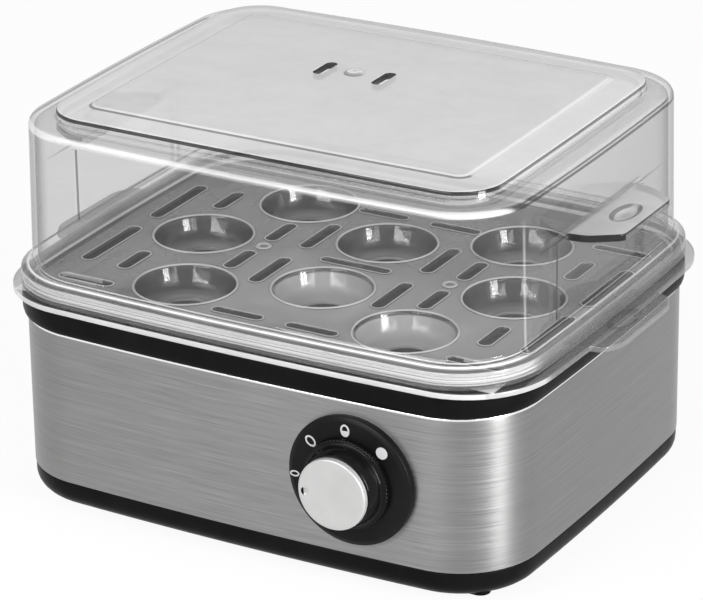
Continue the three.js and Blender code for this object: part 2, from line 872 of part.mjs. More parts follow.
function makeElement() {
  const bend = elementBendRadius;
  const halfGap = THREE.MathUtils.degToRad(elementGapAngle / 2);
  const onRing = (angle, z) => {
    return [elementRingRadius * Math.cos(angle), elementRingRadius * Math.sin(angle), z];
  };
  const endAngle = halfGap - squareTurn;
  const coldEnd = [onRing(endAngle, elementEndBottom), onRing(endAngle, elementEndTop)];
  for (let step = 0; step < elementBendSteps; step += 1) {
    const bent = (squareTurn * step) / elementBendSteps;
    const along = (bend * (1 - Math.cos(bent))) / elementRingRadius;
    coldEnd.push(onRing(endAngle + along, elementZ - bend + bend * Math.sin(bent)));
  }
  const ringStart = halfGap + bend / elementRingRadius;
  const ringTurn = fullTurn - 2 * ringStart;
  const ring = [];
  for (let step = 0; step <= elementRingSteps; step += 1) {
    ring.push(onRing(ringStart - squareTurn + (ringTurn * step) / elementRingSteps, elementZ));
  }
  const otherEnd = coldEnd.map(([x, y, z]) => [-x, y, z]).reverse();
  const points = [...coldEnd, ...ring, ...otherEnd];
  const sheath = tube(points, elementRadius, elementSteps, elementSides);
  const pins = elementEnds.map(({ x, y }) => {
    return rod(elementPinRadius, pinBottom, elementEndBottom + fuseDepth).translate(x, y, 0);
  });
  return join(sheath, ...pins);
}
addPiece(base, 'heating_element', makeElement(), castAluminium);

// Strap across the studs; it presses the cut-out against the spreader
const cutoutTop = spreaderUnderside - seatGap;
const cutoutShoulder = cutoutTop - cutoutCapHeight;
const strapTop = cutoutShoulder - seatGap;
const strapBottom = strapTop - strapThickness;
const cutoutBottom = cutoutShoulder - cutoutBodyHeight;

function makeStrap() {
  const outline = slotShape(0, 0, strapLength, strapWidth);
  const plate = extruded(outline, strapBottom, strapTop, middleRoundSides / 2);
  const [from, to] = [strapBottom - cutOverrun, strapTop + cutOverrun];
  const middleHole = rod(cutoutBodyRadius + seatGap, from, to, middleRoundSides);
  const studHoles = [-1, 1].map((side) => {
    return rod(studRadius + seatGap, from, to).translate((side * studSpacing) / 2, 0, 0);
  });
  return cut(plate, middleHole, ...studHoles);
}
addPiece(base, 'cutout_strap', makeStrap(), zincSteel);

const bladeHalf = bladeWidth / 2;
const bladeEdge = bladeThickness / 2;
const cutoutBladeOffset = cutoutBodyRadius / 2;
const cutoutBladeBottom = cutoutBottom - bladeLength;

function makeCutout() {
  const housing = turned([
    [0, cutoutBottom],
    [cutoutBodyRadius, cutoutBottom],
    [cutoutBodyRadius, cutoutShoulder],
    [cutoutCapRadius, cutoutShoulder],
    [cutoutCapRadius, cutoutTop],
    [0, cutoutTop],
  ], middleRoundSides);
  const bladeRoot = cutoutBottom + fuseDepth;
  const blades = [-1, 1].map((side) => {
    const x = side * cutoutBladeOffset;
    return box(x - bladeEdge, x + bladeEdge, -bladeHalf, bladeHalf, cutoutBladeBottom, bladeRoot);
  });
  return join(housing, ...blades);
}
addPiece(base, 'thermal_cutout', makeCutout(), brownPhenolic);

for (const [where, x, y] of studPlaces) {
  const nutTop = where === 'earth' ? spreaderUnderside - seatGap : strapBottom - seatGap;
  const nut = hexNut(nutRadius, studRadius + seatGap, nutTop - nutHeight, nutTop);
  nut.translate(x, y, 0);
  addPiece(base, `${where}_stud_nut`, nut, zincSteel);
}

// Thermal fuse under the spreader, along X
function makeFuse() {
  const half = fuseLength / 2;
  const leadEnd = half + fuseLeadLength;
  const capsule = turned([
    [0, -leadEnd],
    [fuseLeadRadius, -leadEnd],
    [fuseLeadRadius, -half],
    [fuseRadius, -half],
    [fuseRadius, half - fuseRadius],
    [fuseLeadRadius, half],
    [fuseLeadRadius, leadEnd],
    [0, leadEnd],
  ], smallRoundSides);
  capsule.rotateY(squareTurn);
  return capsule.translate(0, -fuseOffset, spreaderUnderside - seatGap - fuseRadius);
}
addPiece(base, 'thermal_fuse', makeFuse(), zincSteel);

// Control: its box stands off behind the wall, its threaded bush reaches out through wall and dial
const wallOuter = frontReachAt(controlX);
const dialFace = bodyOutline.halfDepth + dialProud;
const controlFront = wallOuter - shellSheet - seatGap - controlStandOff;
const controlBack = controlFront - controlBoxDepth;
const bushEnd = dialFace + bushProud;
const shaftBore = shaftRadius + seatGap;

function makeControlBody() {
  const [halfWidth, halfHeight] = [controlWidth / 2, controlHeight / 2];
  const [sideX, sideY] = [halfWidth - controlCorner, halfHeight - controlCorner];
  const face = polygon([
    [-halfWidth, -sideY],
    [-sideX, -halfHeight],
    [sideX, -halfHeight],
    [halfWidth, -sideY],
    [halfWidth, sideY],
    [sideX, halfHeight],
    [-sideX, halfHeight],
    [-halfWidth, sideY],
  ]);
  const housing = extruded(face, controlBack, controlFront);
  const bush = rod(bushRadius, controlFront - fuseDepth, bushEnd, middleRoundSides);
  const [bladeEnd, bladeRoot] = [controlBack - bladeLength, controlBack + fuseDepth];
  const blades = controlBladeShares.map((share) => {
    const x = halfWidth * share;
    return box(x - bladeEdge, x + bladeEdge, -bladeHalf, bladeHalf, bladeEnd, bladeRoot);
  });
  const boreEnd = controlFront - shaftSeatDepth - seatGap;
  const bore = rod(shaftBore, boreEnd, bushEnd + cutOverrun, middleRoundSides);
  return cut(join(housing, bush, ...blades), bore);
}
addPiece(base, 'control_body', ontoFront(makeControlBody()), brownPhenolic);

const nutSeat = dialFace + seatGap;
const nutFront = nutSeat + bushNutThickness;
const bushNut = hexNut(bushNutRadius, bushRadius + seatGap, nutSeat, nutFront, middleRoundSides);
addPiece(base, 'bush_nut', ontoFront(bushNut), zincSteel);

// Dial plate: a bevelled disc whose back follows the bowed wall
function makeDial() {
  const hole = bushRadius + seatGap;
  const back = wallOuter - cutOverrun;
  const disc = turned([
    [hole, back],
    [dialRadius, back],
    [dialRadius, dialFace - dialBevelDepth],
    [dialRadius - dialBevelWidth, dialFace],
    [hole, dialFace],
    [hole, back],
  ]);
  const wall = casing([at(-seatGap, shellBottom), at(-seatGap, shellTop)]);
  return cut(ontoFront(disc), wall);
}
addPiece(base, 'dial_plate', makeDial(), blackPlastic);

// Knob: a shaft with a flat, a ribbed black grip that hides the nut, and a light cap
const knobBack = dialFace + knobGap;
const gripFront = knobBack + knobSkirtHeight + knobBodyHeight;
const spigotFloor = gripFront - capSpigotLength - seatGap;
const shaftEnd = spigotFloor - knobHubWeb - seatGap;

function flattedRod(radius, flat, bottom, top) {
  const side = radius * 2;
  const round = rod(radius, bottom, top, middleRoundSides);
  return cut(round, box(-side, side, radius - flat, side, bottom - cutOverrun, top + cutOverrun));
}
const shaft = flattedRod(shaftRadius, shaftFlat, controlFront - shaftSeatDepth, shaftEnd);
addPiece(knob, 'knob_shaft', ontoFront(shaft), zincSteel);

function makeGrip() {
  const skirtFront = knobBack + knobSkirtHeight;
  const bodyShoulder = skirtFront + knobRibDepth;
  const rim = [];
  for (let rib = 0; rib < knobRibs; rib += 1) {
    for (const [share, depth] of knobRibShares) {
      const angle = (fullTurn * (rib + share)) / knobRibs;
      const radius = knobSkirtRadius - knobRibDepth * depth;
      rim.push([radius * Math.cos(angle), radius * Math.sin(angle)]);
    }
  }
  const skirt = extruded(polygon(rim), knobBack, skirtFront);
  const grip = turned([
    [0, knobBack],
    [knobNeckRadius, knobBack],
    [knobNeckRadius, skirtFront],
    [knobBodyRadius, bodyShoulder],
    [knobBodyTopRadius, gripFront],
    [0, gripFront],
  ]);
  const [outside, beyond] = [knobBack - cutOverrun, gripFront + cutOverrun];
  const cavity = rod(knobCavityRadius, outside, knobBack + knobCavityDepth, middleRoundSides);
  const bore = flattedRod(shaftBore, shaftFlat, outside, shaftEnd + seatGap);
  const spigotHole = rod(capSpigotRadius + seatGap, spigotFloor, beyond, middleRoundSides);
  return cut(join(skirt, grip), cavity, bore, spigotHole);
}
addPiece(knob, 'knob_grip', ontoFront(makeGrip()), blackPlastic);

function makeCap() {
  const back = gripFront + seatGap;
  const front = back + capHeight;
  const disc = turned([
    [0, back],
    [capRadius, back],
    [capRadius, front - capRounding],
    [capRadius - capRounding, front],
    [0, front],
  ]);
  const spigot = rod(capSpigotRadius, back - capSpigotLength, back + fuseDepth, middleRoundSides);
  const offAngle = THREE.MathUtils.degToRad(knobOffAngle);
  const pointer = rod(pointerRadius, front - pointerDepth, front + cutOverrun);
  pointer.translate(pointerOffset * Math.sin(offAngle), pointerOffset * Math.cos(offAngle), 0);
  return cut(join(disc, spigot), pointer);
}
addPiece(knob, 'knob_cap', ontoFront(makeCap()), satinCap);

// Cord bushing in the rear wall, with a flange on each side of the steel
function makeBushing() {
  const wall = frontReachAt(inletX);
  const spread = bushingCollarRadius / cornerCentreX;
  const lean = bodyFrontBow * 2 * spread * Math.abs(inletX / cornerCentreX);
  const collarBack = wall + seatGap + lean;
  const innerFront = wall - shellSheet - seatGap - lean;
  const innerBack = innerFront - bushingInnerHeight;
  const front = collarBack + bushingCollarHeight;
  return turned([
    [bushingBoreRadius, innerBack],
    [bushingCollarRadius, innerBack],
    [bushingCollarRadius, innerFront],
    [bushingNeckRadius, innerFront],
    [bushingNeckRadius, collarBack],
    [bushingCollarRadius, collarBack],
    [bushingCollarRadius - bushingCollarHeight / 2, front],
    [bushingBoreRadius, front],
    [bushingBoreRadius, innerBack],
  ], middleRoundSides);
}
const bushing = makeBushing();
bushing.rotateX(-squareTurn);
bushing.translate(inletX, 0, inletZ);
addPiece(base, 'cord_bushing', bushing, blackRubber);

// Terminal block on its boss, with a bore for each wire and one screw
function makeTerminalBlock() {
  const [halfLength, halfWidth] = [blockLength / 2, blockWidth / 2];
  const housing = box(-halfLength, halfLength, -halfWidth, halfWidth, blockSeat, blockSeat + blockHeight);
  const bores = [-1, 0, 1].map((place) => {
    const bore = rod(blockHoleRadius, -halfWidth - cutOverrun, blockHoleDepth - halfWidth);
    bore.rotateX(-squareTurn);
    return bore.translate(place * blockPitch, 0, blockSeat + blockHeight / 2);
  });
  const screwBore = rod(screwHole, blockSeat - cutOverrun, blockSeat + blockHeight + cutOverrun);
  const sink = blockSeat + blockHeight - screwHeadHeight - seatGap;
  const headBore = rod(screwHeadHole, sink, blockSeat + blockHeight + cutOverrun);
  return cut(housing, ...bores, screwBore, headBore).translate(inletX, blockBackOffset, 0);
}
addPiece(base, 'terminal_block', makeTerminalBlock(), creamCeramic);

const blockScrew = addPiece(base, 'terminal_block_screw', makeScrew(blockScrewLength), zincSteel);
blockScrew.position.set(inletX, blockBackOffset, blockSeat + blockHeight - screwHeadHeight);
blockScrew.rotation.x = Math.PI;

// Wires inside the base, from terminal to terminal
const blockFaceY = blockBackOffset - blockWidth / 2 - seatGap;
const blockWireZ = blockSeat + blockHeight / 2;
const controlWireY = bladeLength - controlBack + seatGap;
const controlWireX = controlBladeShares.map((share) => controlX + (controlWidth / 2) * share);
const pinWireZ = pinBottom - seatGap;
const cutoutWireZ = cutoutBladeBottom - seatGap;
const fuseWireZ = spreaderUnderside - seatGap - fuseRadius;
const fuseWireX = fuseLength / 2 + fuseLeadLength + seatGap;
const earthWireZ = studBottom - seatGap;
const [leftPin, rightPin] = elementEnds;
const loomZ = blockWireZ;
const lead = wireLead;

function addWire(name, points, material) {
  addPiece(base, name, tube(points, wireRadius, wireSteps, wireSides), material);
}

addWire('live_wire', [
  [inletX + blockPitch, blockFaceY, blockWireZ],
  [inletX + blockPitch, blockFaceY - lead, blockWireZ],
  [leftPin.x, 0, loomZ],
  [controlWireX[0] - lead, controlWireY + lead * 3, loomZ],
  [controlWireX[0], controlWireY + lead, controlZ],
  [controlWireX[0], controlWireY, controlZ],
], wireBrown);
addWire('switched_live_wire', [
  [controlWireX[1], controlWireY, controlZ],
  [controlWireX[1], controlWireY + lead, controlZ],
  [(controlWireX[1] + rightPin.x) / 2, rightPin.y + lead, pinWireZ - lead * 2],
  [rightPin.x, rightPin.y, pinWireZ - lead],
  [rightPin.x, rightPin.y, pinWireZ],
], wireBrown);
addWire('element_wire', [
  [leftPin.x, leftPin.y, pinWireZ],
  [leftPin.x, leftPin.y, pinWireZ - lead],
  [-cutoutBladeOffset - lead, leftPin.y / 2, pinWireZ - lead],
  [-cutoutBladeOffset, 0, cutoutWireZ - lead],
  [-cutoutBladeOffset, 0, cutoutWireZ],
], wireBlue);
addWire('cutout_wire', [
  [cutoutBladeOffset, 0, cutoutWireZ],
  [cutoutBladeOffset, 0, cutoutWireZ - lead],
  [fuseWireX + lead, -fuseOffset / 2, cutoutWireZ],
  [fuseWireX + lead, -fuseOffset, fuseWireZ],
  [fuseWireX, -fuseOffset, fuseWireZ],
], wireBlue);
addWire('neutral_wire', [
  [-fuseWireX, -fuseOffset, fuseWireZ],
  [-fuseWireX - lead / 2, -fuseOffset, fuseWireZ],
  [-fuseWireX - lead, -fuseOffset + lead, elementEndTop - lead / 2],
  [-elementRingRadius, -lead, elementEndTop - lead],
  [inletX, fuseOffset, loomZ + lead],
  [inletX, blockFaceY - lead, blockWireZ],
  [inletX, blockFaceY, blockWireZ],
], wireBlue);
addWire('earth_wire', [
  [0, earthStudOffset, earthWireZ],
  [0, earthStudOffset, earthWireZ - lead],
  [inletX / 2, (earthStudOffset + blockFaceY) / 2, (earthWireZ + blockWireZ) / 2 - lead],
  [inletX - blockPitch, blockFaceY - lead, blockWireZ],
  [inletX - blockPitch, blockFaceY, blockWireZ],
], wireGreen);

// A hand tab in plan, from inside its wall out to its blunt end
function tabShape(side, rootX, kneeBack) {
  const kneeX = tabReachX - kneeBack;
  const kneeHalf = tabRootHalf - tabKneeIn;
  return polygon([
    [side * rootX, -tabRootHalf],
    [side * kneeX, -kneeHalf],
    [side * tabReachX, -tabOuterHalf],
    [side * tabReachX, tabOuterHalf],
    [side * kneeX, kneeHalf],
    [side * rootX, tabRootHalf],
  ]);
}

// A low round boss with a bevelled edge
function lowDome(radius, height, level) {
  return turned([
    [0, level - fuseDepth],
    [radius, level - fuseDepth],
    [radius, level],
    [radius - height, level + height],
    [0, level + height],
  ], middleRoundSides);
}

// The oval finger dish in the top of a tab
function tabDish(side, top) {
  const dish = new THREE.SphereGeometry(1, middleRoundSides, smallRoundSides / 2);
  dish.rotateX(squareTurn);
  dish.scale(tabDishWidth / 2, tabDishLength / 2, tabDishDepth);
  return dish.translate(side * tabDishX, 0, top);
}

// Egg tray: a flange over the rim, an upstand inside the lid, a locating rib and a perforated deck
const wellPlaces = [
  ...cornerSigns.map(([, signX, signY]) => [signX * wellCornerX, signY * wellCornerY]),
  [-wellSideX, 0],
  [wellSideX, 0],
  [0, -wellMiddleY],
  [0, wellMiddleY],
];
const lidSkirtInner = lidWall - lidSkirtOutset;

function makeTrayPlate() {
  const upstandTop = trayFlangeTop + trayUpstandHeight;
  const upstandOuter = lidSkirtInner + trayFitGap;
  const upstandInner = upstandOuter + trayUpstandWall;
  const ribOuter = rimInnerInset + trayFitGap;
  const ribInner = ribOuter + trayRibWall;
  const ribBottom = deckUnderside - trayRibDepth;
  return casing([
    at(ribInner, deckUnderside),
    at(ribInner, ribBottom),
    at(ribOuter, ribBottom),
    at(ribOuter, trayBottom),
    at(0, trayBottom, trayOutline),
    at(0, trayFlangeTop - trayEdgeRounding, trayOutline),
    at(trayEdgeRounding, trayFlangeTop, trayOutline),
    at(upstandOuter, trayFlangeTop),
    at(upstandOuter, upstandTop - trayUpstandRounding),
    at(upstandOuter + trayUpstandRounding, upstandTop),
    at(upstandInner, upstandTop),
    at(upstandInner, deckTop + trayDishSlope),
    at(upstandInner + trayDishSlope, deckTop),
  ]);
}

// One egg well: a bead round its mouth and a bowl with an open floor
function makeWell() {
  const beadOuter = wellRadius + wellBeadWidth;
  const wellFloor = deckTop - wellDepth;
  const [radiusShare, depthShare] = wellTurnShares;
  const turnRadius = wellFloorRadius + (wellRadius - wellFloorRadius) * radiusShare;
  const turnLevel = deckTop - wellDepth * depthShare;
  return turned([
    [wellFloorRadius, wellFloor - wellWall],
    [turnRadius + wellWall / 2, turnLevel - wellWall],
    [beadOuter, deckTop - trayDeckThickness / 2],
    [beadOuter, deckTop],
    [wellRadius + wellBeadWidth / 2, deckTop + wellBeadHeight],
    [wellRadius, deckTop],
    [turnRadius, turnLevel],
    [wellFloorRadius, wellFloor],
    [wellFloorRadius, wellFloor - wellWall],
  ], wellSides);
}

// Drain slots: length, place across and place along, each with its mirror twins
const slotsAlongDepth = [
  [outerSlotLength, bodyOutline.halfLength - outerSlotEndInset, outerSlotY],
  [cornerSlotLength, bodyOutline.halfLength - cornerSlotEndInset, wellCornerY - cornerSlotWellGap],
  [besideWellSlotLength, wellSideX - besideWellSlotGap, besideWellSlotY],
  [middleSlotLength, middleSlotX, middleSlotY],
];

function makeTray() {
  const edgeSlotX = bodyOutline.halfLength - edgeSlotEndInset;
  const edgeSlotY = bodyOutline.halfDepth - edgeSlotFrontInset;
  const frontSlotY = frontSlotInset - bodyOutline.halfDepth;
  const backSlotY = bodyOutline.halfDepth - backSlotInset;
  const dimpleX = wellSideX - dimpleWellGap;
  const topReach = deckTop + cutOverrun;
  const bottomReach = deckUnderside - cutOverrun;
  const holes = wellPlaces.map(([x, y]) => {
    return rod(wellRadius + wellBeadWidth / 2, bottomReach, topReach, wellSides).translate(x, y, 0);
  });
  const wells = wellPlaces.map(([x, y]) => makeWell().translate(x, y, 0));
  const slots = [];
  for (const [length, placeX, placeY] of slotsAlongDepth) {
    for (const [, signX, signY] of cornerSigns) {
      const shape = slotShape(signX * placeX, signY * placeY, length, slotWidth, true);
      slots.push(extruded(shape, bottomReach, topReach, slotEndSteps));
    }
  }
  for (const [, signX, signY] of cornerSigns) {
    const edge = slotShape(signX * edgeSlotX, signY * edgeSlotY, edgeSlotLength, edgeSlotWidth);
    const rowY = signY < 0 ? frontSlotY : backSlotY;
    const row = slotShape(signX * rowSlotX, rowY, rowSlotLength, edgeSlotWidth);
    slots.push(extruded(edge, bottomReach, topReach, slotEndSteps));
    slots.push(extruded(row, bottomReach, topReach, slotEndSteps));
  }
  const centreSlot = slotShape(0, 0, centreSlotLength, edgeSlotWidth);
  slots.push(extruded(centreSlot, bottomReach, topReach, slotEndSteps));
  const tabs = [-1, 1].map((side) => {
    const shape = tabShape(side, bodyOutline.halfLength, trayTabKneeBack);
    return extruded(shape, trayBottom, trayFlangeTop);
  });
  const dishes = [-1, 1].map((side) => tabDish(side, trayFlangeTop));
  const dimples = [-1, 1].map((side) => {
    return lowDome(dimpleRadius, dimpleHeight, deckTop).translate(side * dimpleX, 0, 0);
  });
  const plate = cut(join(makeTrayPlate(), ...tabs, ...dimples), ...holes, ...slots, ...dishes);
  return join(plate, ...wells);
}
addPiece(eggBoiler, 'egg_tray', makeTray(), smokyTray);

// Clear lid: skirt, flared shoulder, upright walls, a stepped top, two steam slots and two hand tabs
function makeLidShell() {
  const skirtTop = lidBottom + lidSkirtHeight;
  const skirtInnerTop = skirtTop - lidWall;
  const wallTopZ = lidBottom + lidWallTop;
  const skirtSide = at(-lidSkirtOutset, skirtTop - lidShoulderRounding);
  const shoulder = at(lidShoulderRounding - lidSkirtOutset, skirtTop);
  const wallFoot = at(lidWallFootInset, skirtTop + lidShoulderRise);
  const wallHead = at(lidWallTopInset, wallTopZ);
  const edge = at(lidWallTopInset + lidEdgeRounding, lidEdgeTop);
  const innerHead = at(lidWallTopInset + lidWall, wallTopZ);
  const innerEdge = at(edge.inset + lidWall / 2, lidEdgeTop - lidWall);
  const innerFoot = at(lidWallFootInset + lidWall, wallFoot.z - lidShoulderRounding);
  const innerShoulder = at(lidSkirtInner + lidShoulderRounding, skirtInnerTop);
  const innerPlateau = plateauTop - lidWall;
  return casing([
    at(lidWall + plateauRounding, innerPlateau, plateauOutline),
    at(lidWall, innerPlateau - plateauRounding, plateauOutline),
    at(lidWall - plateauRounding / 2, lidEdgeTop - lidWall, plateauOutline),
    innerEdge,
    innerHead,
    innerFoot,
    innerShoulder,
    at(lidSkirtInner, skirtInnerTop - lidShoulderRounding),
    at(lidSkirtInner, lidBottom),
    at(-lidSkirtOutset, lidBottom),
    skirtSide,
    shoulder,
    ...turn(shoulder, wallFoot, 'level'),
    wallFoot,
    wallHead,
    ...turn(wallHead, edge, 'upright'),
    edge,
    at(-plateauRounding / 2, lidEdgeTop, plateauOutline),
    at(0, plateauTop - plateauRounding, plateauOutline),
    at(plateauRounding, plateauTop, plateauOutline),
    at(panelInset, plateauTop, plateauOutline),
    at(panelInset + panelSlope, plateauTop + panelRise, plateauOutline),
  ]);
}

function makeLid() {
  const tabTop = lidBottom + lidTabHeight;
  const tabUnder = tabTop - lidTabThickness;
  const pocketBottom = lidBottom + pocketFoot;
  const pocketFaceX = bodyOutline.halfLength - lidWallTopInset - pocketDepth;
  const pocketBackX = pocketFaceX - lidWall;
  const wallMiddleX = pocketFaceX + pocketDepth / 2;
  const outside = tabReachX + cutOverrun;
  const blockHalf = pocketHalfWidth + lidWall;
  const blocks = [];
  const pockets = [];
  const tabs = [];
  const dishes = [];
  for (const side of [-1, 1]) {
    const [nearX, farX] = [side * pocketBackX, side * wallMiddleX];
    const [lowX, highX] = [Math.min(nearX, farX), Math.max(nearX, farX)];
    blocks.push(box(lowX, highX, -blockHalf, blockHalf, pocketBottom - lidWall, tabUnder + lidWall));
    const [faceX, endX] = [side * pocketFaceX, side * outside];
    const [fromX, toX] = [Math.min(faceX, endX), Math.max(faceX, endX)];
    pockets.push(box(fromX, toX, -pocketHalfWidth, pocketHalfWidth, pocketBottom, tabUnder));
    const rootX = pocketFaceX - lidWall / 2;
    tabs.push(extruded(tabShape(side, rootX, lidTabKneeBack), tabUnder, tabTop));
    dishes.push(tabDish(side, tabTop));
  }
  const panelTop = plateauTop + panelRise;
  const vents = [-1, 1].map((side) => {
    const shape = slotShape(ventCentreX + side * ventX, ventCentreY, ventLength, ventWidth, true);
    return extruded(shape, panelTop - lidWall - cutOverrun, panelTop + cutOverrun);
  });
  const boss = lowDome(ventBossRadius, ventBossHeight, panelTop).translate(ventCentreX, ventCentreY, 0);
  const walls = cut(join(makeLidShell(), ...blocks), ...pockets);
  return cut(join(walls, ...tabs, boss), ...vents, ...dishes);
}
addPiece(eggBoiler, 'lid', makeLid(), clearLid);

// The origin is the middle of the whole outline on the table, knob and tray included
const frontReach = gripFront + seatGap + capHeight;
const backReach = trayOutline.halfDepth;
eggBoiler.position.y = (frontReach - backReach) / 2;

export default eggBoiler;
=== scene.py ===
import math

import bmesh
import bpy
from mathutils import Matrix, Vector


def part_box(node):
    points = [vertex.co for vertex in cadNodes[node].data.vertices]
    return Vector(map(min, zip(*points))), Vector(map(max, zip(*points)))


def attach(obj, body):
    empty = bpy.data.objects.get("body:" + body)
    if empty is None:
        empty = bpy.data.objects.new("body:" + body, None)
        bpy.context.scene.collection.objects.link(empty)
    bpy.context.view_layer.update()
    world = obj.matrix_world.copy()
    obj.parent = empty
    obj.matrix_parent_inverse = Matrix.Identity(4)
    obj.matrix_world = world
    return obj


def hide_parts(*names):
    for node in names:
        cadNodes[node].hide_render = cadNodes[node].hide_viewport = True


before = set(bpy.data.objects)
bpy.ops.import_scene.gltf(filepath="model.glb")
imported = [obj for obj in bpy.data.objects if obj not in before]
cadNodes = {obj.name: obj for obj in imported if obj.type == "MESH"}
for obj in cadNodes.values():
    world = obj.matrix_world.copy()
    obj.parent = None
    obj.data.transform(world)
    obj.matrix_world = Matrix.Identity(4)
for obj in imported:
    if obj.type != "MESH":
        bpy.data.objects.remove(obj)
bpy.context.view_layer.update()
scene = bpy.context.scene
quarter = math.pi / 2

# Lengths are in millimetres until keep() brings a finished mesh to metres
shellLow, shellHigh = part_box("steel_shell")
planShift = 500 * (shellLow.y + shellHigh.y)  # the body's middle lies a little behind the origin
mergeDistance = 0.0005
sharpAngle = math.radians(32)


# An object for some data, in the scene
def placed(name, data):
    made = bpy.data.objects.new(name, data)
    scene.collection.objects.link(made)
    return made


# A mesh of a shape, which is given up
def meshOf(bm, name):
    data = bpy.data.meshes.new(name)
    bm.to_mesh(data)
    bm.free()
    return data


# The photograph's camera
cameraSettings = {"place": (0.70803, -1.2203, 0.68332), "yaw": 30.07, "pitch": 23.18, "roll": -0.88, "lens": 193.46}


def placeCamera(settings):
    yaw, pitch, roll = (math.radians(settings[key]) for key in ("yaw", "pitch", "roll"))
    forward = Vector((-math.sin(yaw) * math.cos(pitch), math.cos(yaw) * math.cos(pitch), -math.sin(pitch)))
    level = Vector((math.cos(yaw), math.sin(yaw), 0))
    upward = level.cross(forward)
    right = level * math.cos(roll) + upward * math.sin(roll)
    top = upward * math.cos(roll) - level * math.sin(roll)
    data = bpy.data.cameras.new("camera")
    data.lens = settings["lens"]
    data.sensor_width = 36
    data.sensor_fit = "HORIZONTAL"
    camera = placed("camera", data)
    turn = Matrix((right, top, -forward)).transposed()
    camera.matrix_world = Matrix.Translation(settings["place"]) @ turn.to_4x4()
    scene.camera = camera


placeCamera(cameraSettings)
print("camera placed")


# Finishes: small helpers that join nodes
def blankFinish(name):
    finish = bpy.data.materials.new(name)
    finish.use_nodes = True
    finish.node_tree.nodes.clear()
    return finish, finish.node_tree


def node(tree, kind, inputs=None, **settings):
    made = tree.nodes.new("ShaderNode" + kind)
    for key, value in settings.items():
        setattr(made, key, value)
    for key, value in (inputs or {}).items():
        if isinstance(value, bpy.types.NodeSocket):
            tree.links.new(value, made.inputs[key])
        else:
            made.inputs[key].default_value = value
    return made


def result(tree, kind, inputs=None, **settings):
    return node(tree, kind, inputs, **settings).outputs[0]


def surfaced(finish, shader):
    node(finish.node_tree, "OutputMaterial", {"Surface": shader})
    return finish


def maths(tree, operation, *values):
    return result(tree, "Math", dict(enumerate(values)), operation=operation)


def scaled(tree, colour, share):
    return result(tree, "VectorMath", {0: colour, "Scale": share}, operation="SCALE")


# Three equal values, for a grey or a scale
def even(value):
    return (value,) * 3


def grain(tree, scale, detail=4):
    place = node(tree, "TexCoord").outputs["Object"]
    stretched = result(tree, "Mapping", {"Vector": place, "Scale": scale})
    return result(tree, "TexNoise", {"Vector": stretched, "Scale": 1, "Detail": detail, "Roughness": 0.55})


def ranged(tree, value, low, high, fromLow=0.3, fromHigh=0.7):
    return result(tree, "MapRange", {"Value": value, "From Min": fromLow, "From Max": fromHigh,
                                     "To Min": low, "To Max": high})


def tinted(tree, value, dark, light, fromLow=0.3, fromHigh=0.7):
    ramp = node(tree, "ValToRGB", {"Fac": value})
    ramp.color_ramp.elements[0].position = fromLow
    ramp.color_ramp.elements[1].position = fromHigh
    ramp.color_ramp.elements[0].color = (*dark, 1)
    ramp.color_ramp.elements[1].color = (*light, 1)
    return ramp.outputs["Color"]


def bumped(tree, height, strength, distance):
    return result(tree, "Bump", {"Height": height, "Strength": strength, "Distance": distance})


# Plain finishes: a mottled colour, an uneven gloss and a fine texture in relief
plainFinishes = {
    "satinBlack": dict(dark=even(0.003), light=even(0.005), gloss=(0.3, 0.4), fine=2600, relief=0.00004,
                       specular=0.05),
    "dialBlack": dict(dark=even(0.004), light=even(0.007), gloss=(0.3, 0.4), fine=3200, relief=0.00003, specular=0.09),
    "knobBlack": dict(dark=even(0.003), light=even(0.005), gloss=(0.1, 0.16), fine=1800, relief=0.00001, specular=0.1),
    "panCoating": dict(dark=(0.018, 0.018, 0.019), light=(0.034, 0.034, 0.035), gloss=(0.36, 0.5), metal=0.3,
                       fine=1500, relief=0.00005),
    "rubberBlack": dict(dark=even(0.012), light=even(0.024), gloss=(0.7, 0.85), fine=1400, relief=0.00006),
    "siliconeGrey": dict(dark=even(0.2), light=even(0.27), gloss=(0.5, 0.65), fine=900, relief=0.00004),
    "zincPlate": dict(dark=(0.4, 0.41, 0.43), light=(0.56, 0.57, 0.58), gloss=(0.28, 0.45), metal=1, fine=1200,
                      relief=0.00003),
    "castGrey": dict(dark=(0.33, 0.33, 0.34), light=(0.45, 0.45, 0.46), gloss=(0.45, 0.65), metal=1, fine=700,
                     relief=0.0001),
    "phenolicBrown": dict(dark=(0.06, 0.032, 0.018), light=(0.1, 0.055, 0.032), gloss=(0.4, 0.55), fine=900,
                          relief=0.00004),
    "ceramicCream": dict(dark=(0.58, 0.53, 0.42), light=(0.7, 0.65, 0.54), gloss=(0.5, 0.7), fine=800, relief=0.00005),
    "wireBrown": dict(dark=(0.08, 0.03, 0.012), light=(0.12, 0.05, 0.02)),
    "wireBlue": dict(dark=(0.015, 0.05, 0.2), light=(0.03, 0.08, 0.27)),
    "wireGreen": dict(dark=(0.1, 0.2, 0.02), light=(0.16, 0.28, 0.03)),
    "markPaint": dict(dark=(0.43, 0.43, 0.44), light=(0.49, 0.49, 0.5), gloss=(0.4, 0.55), fine=4000, relief=0.00001),
}
mottleScale, glossScale = 60, 220


def plainFinish(name, dark, light, gloss=(0.35, 0.5), metal=0, fine=700, relief=0.00002, specular=0.5):
    finish, tree = blankFinish(name)
    texture = grain(tree, even(fine), detail=3)
    mottle = grain(tree, even(mottleScale))
    shader = result(tree, "BsdfPrincipled", {
        "Base Color": tinted(tree, mottle, dark, light),
        "Roughness": ranged(tree, grain(tree, even(glossScale)), *gloss),
        "Metallic": metal,
        "Specular IOR Level": specular,
        "Normal": bumped(tree, texture, 0.5, relief),
    })
    return surfaced(finish, shader)


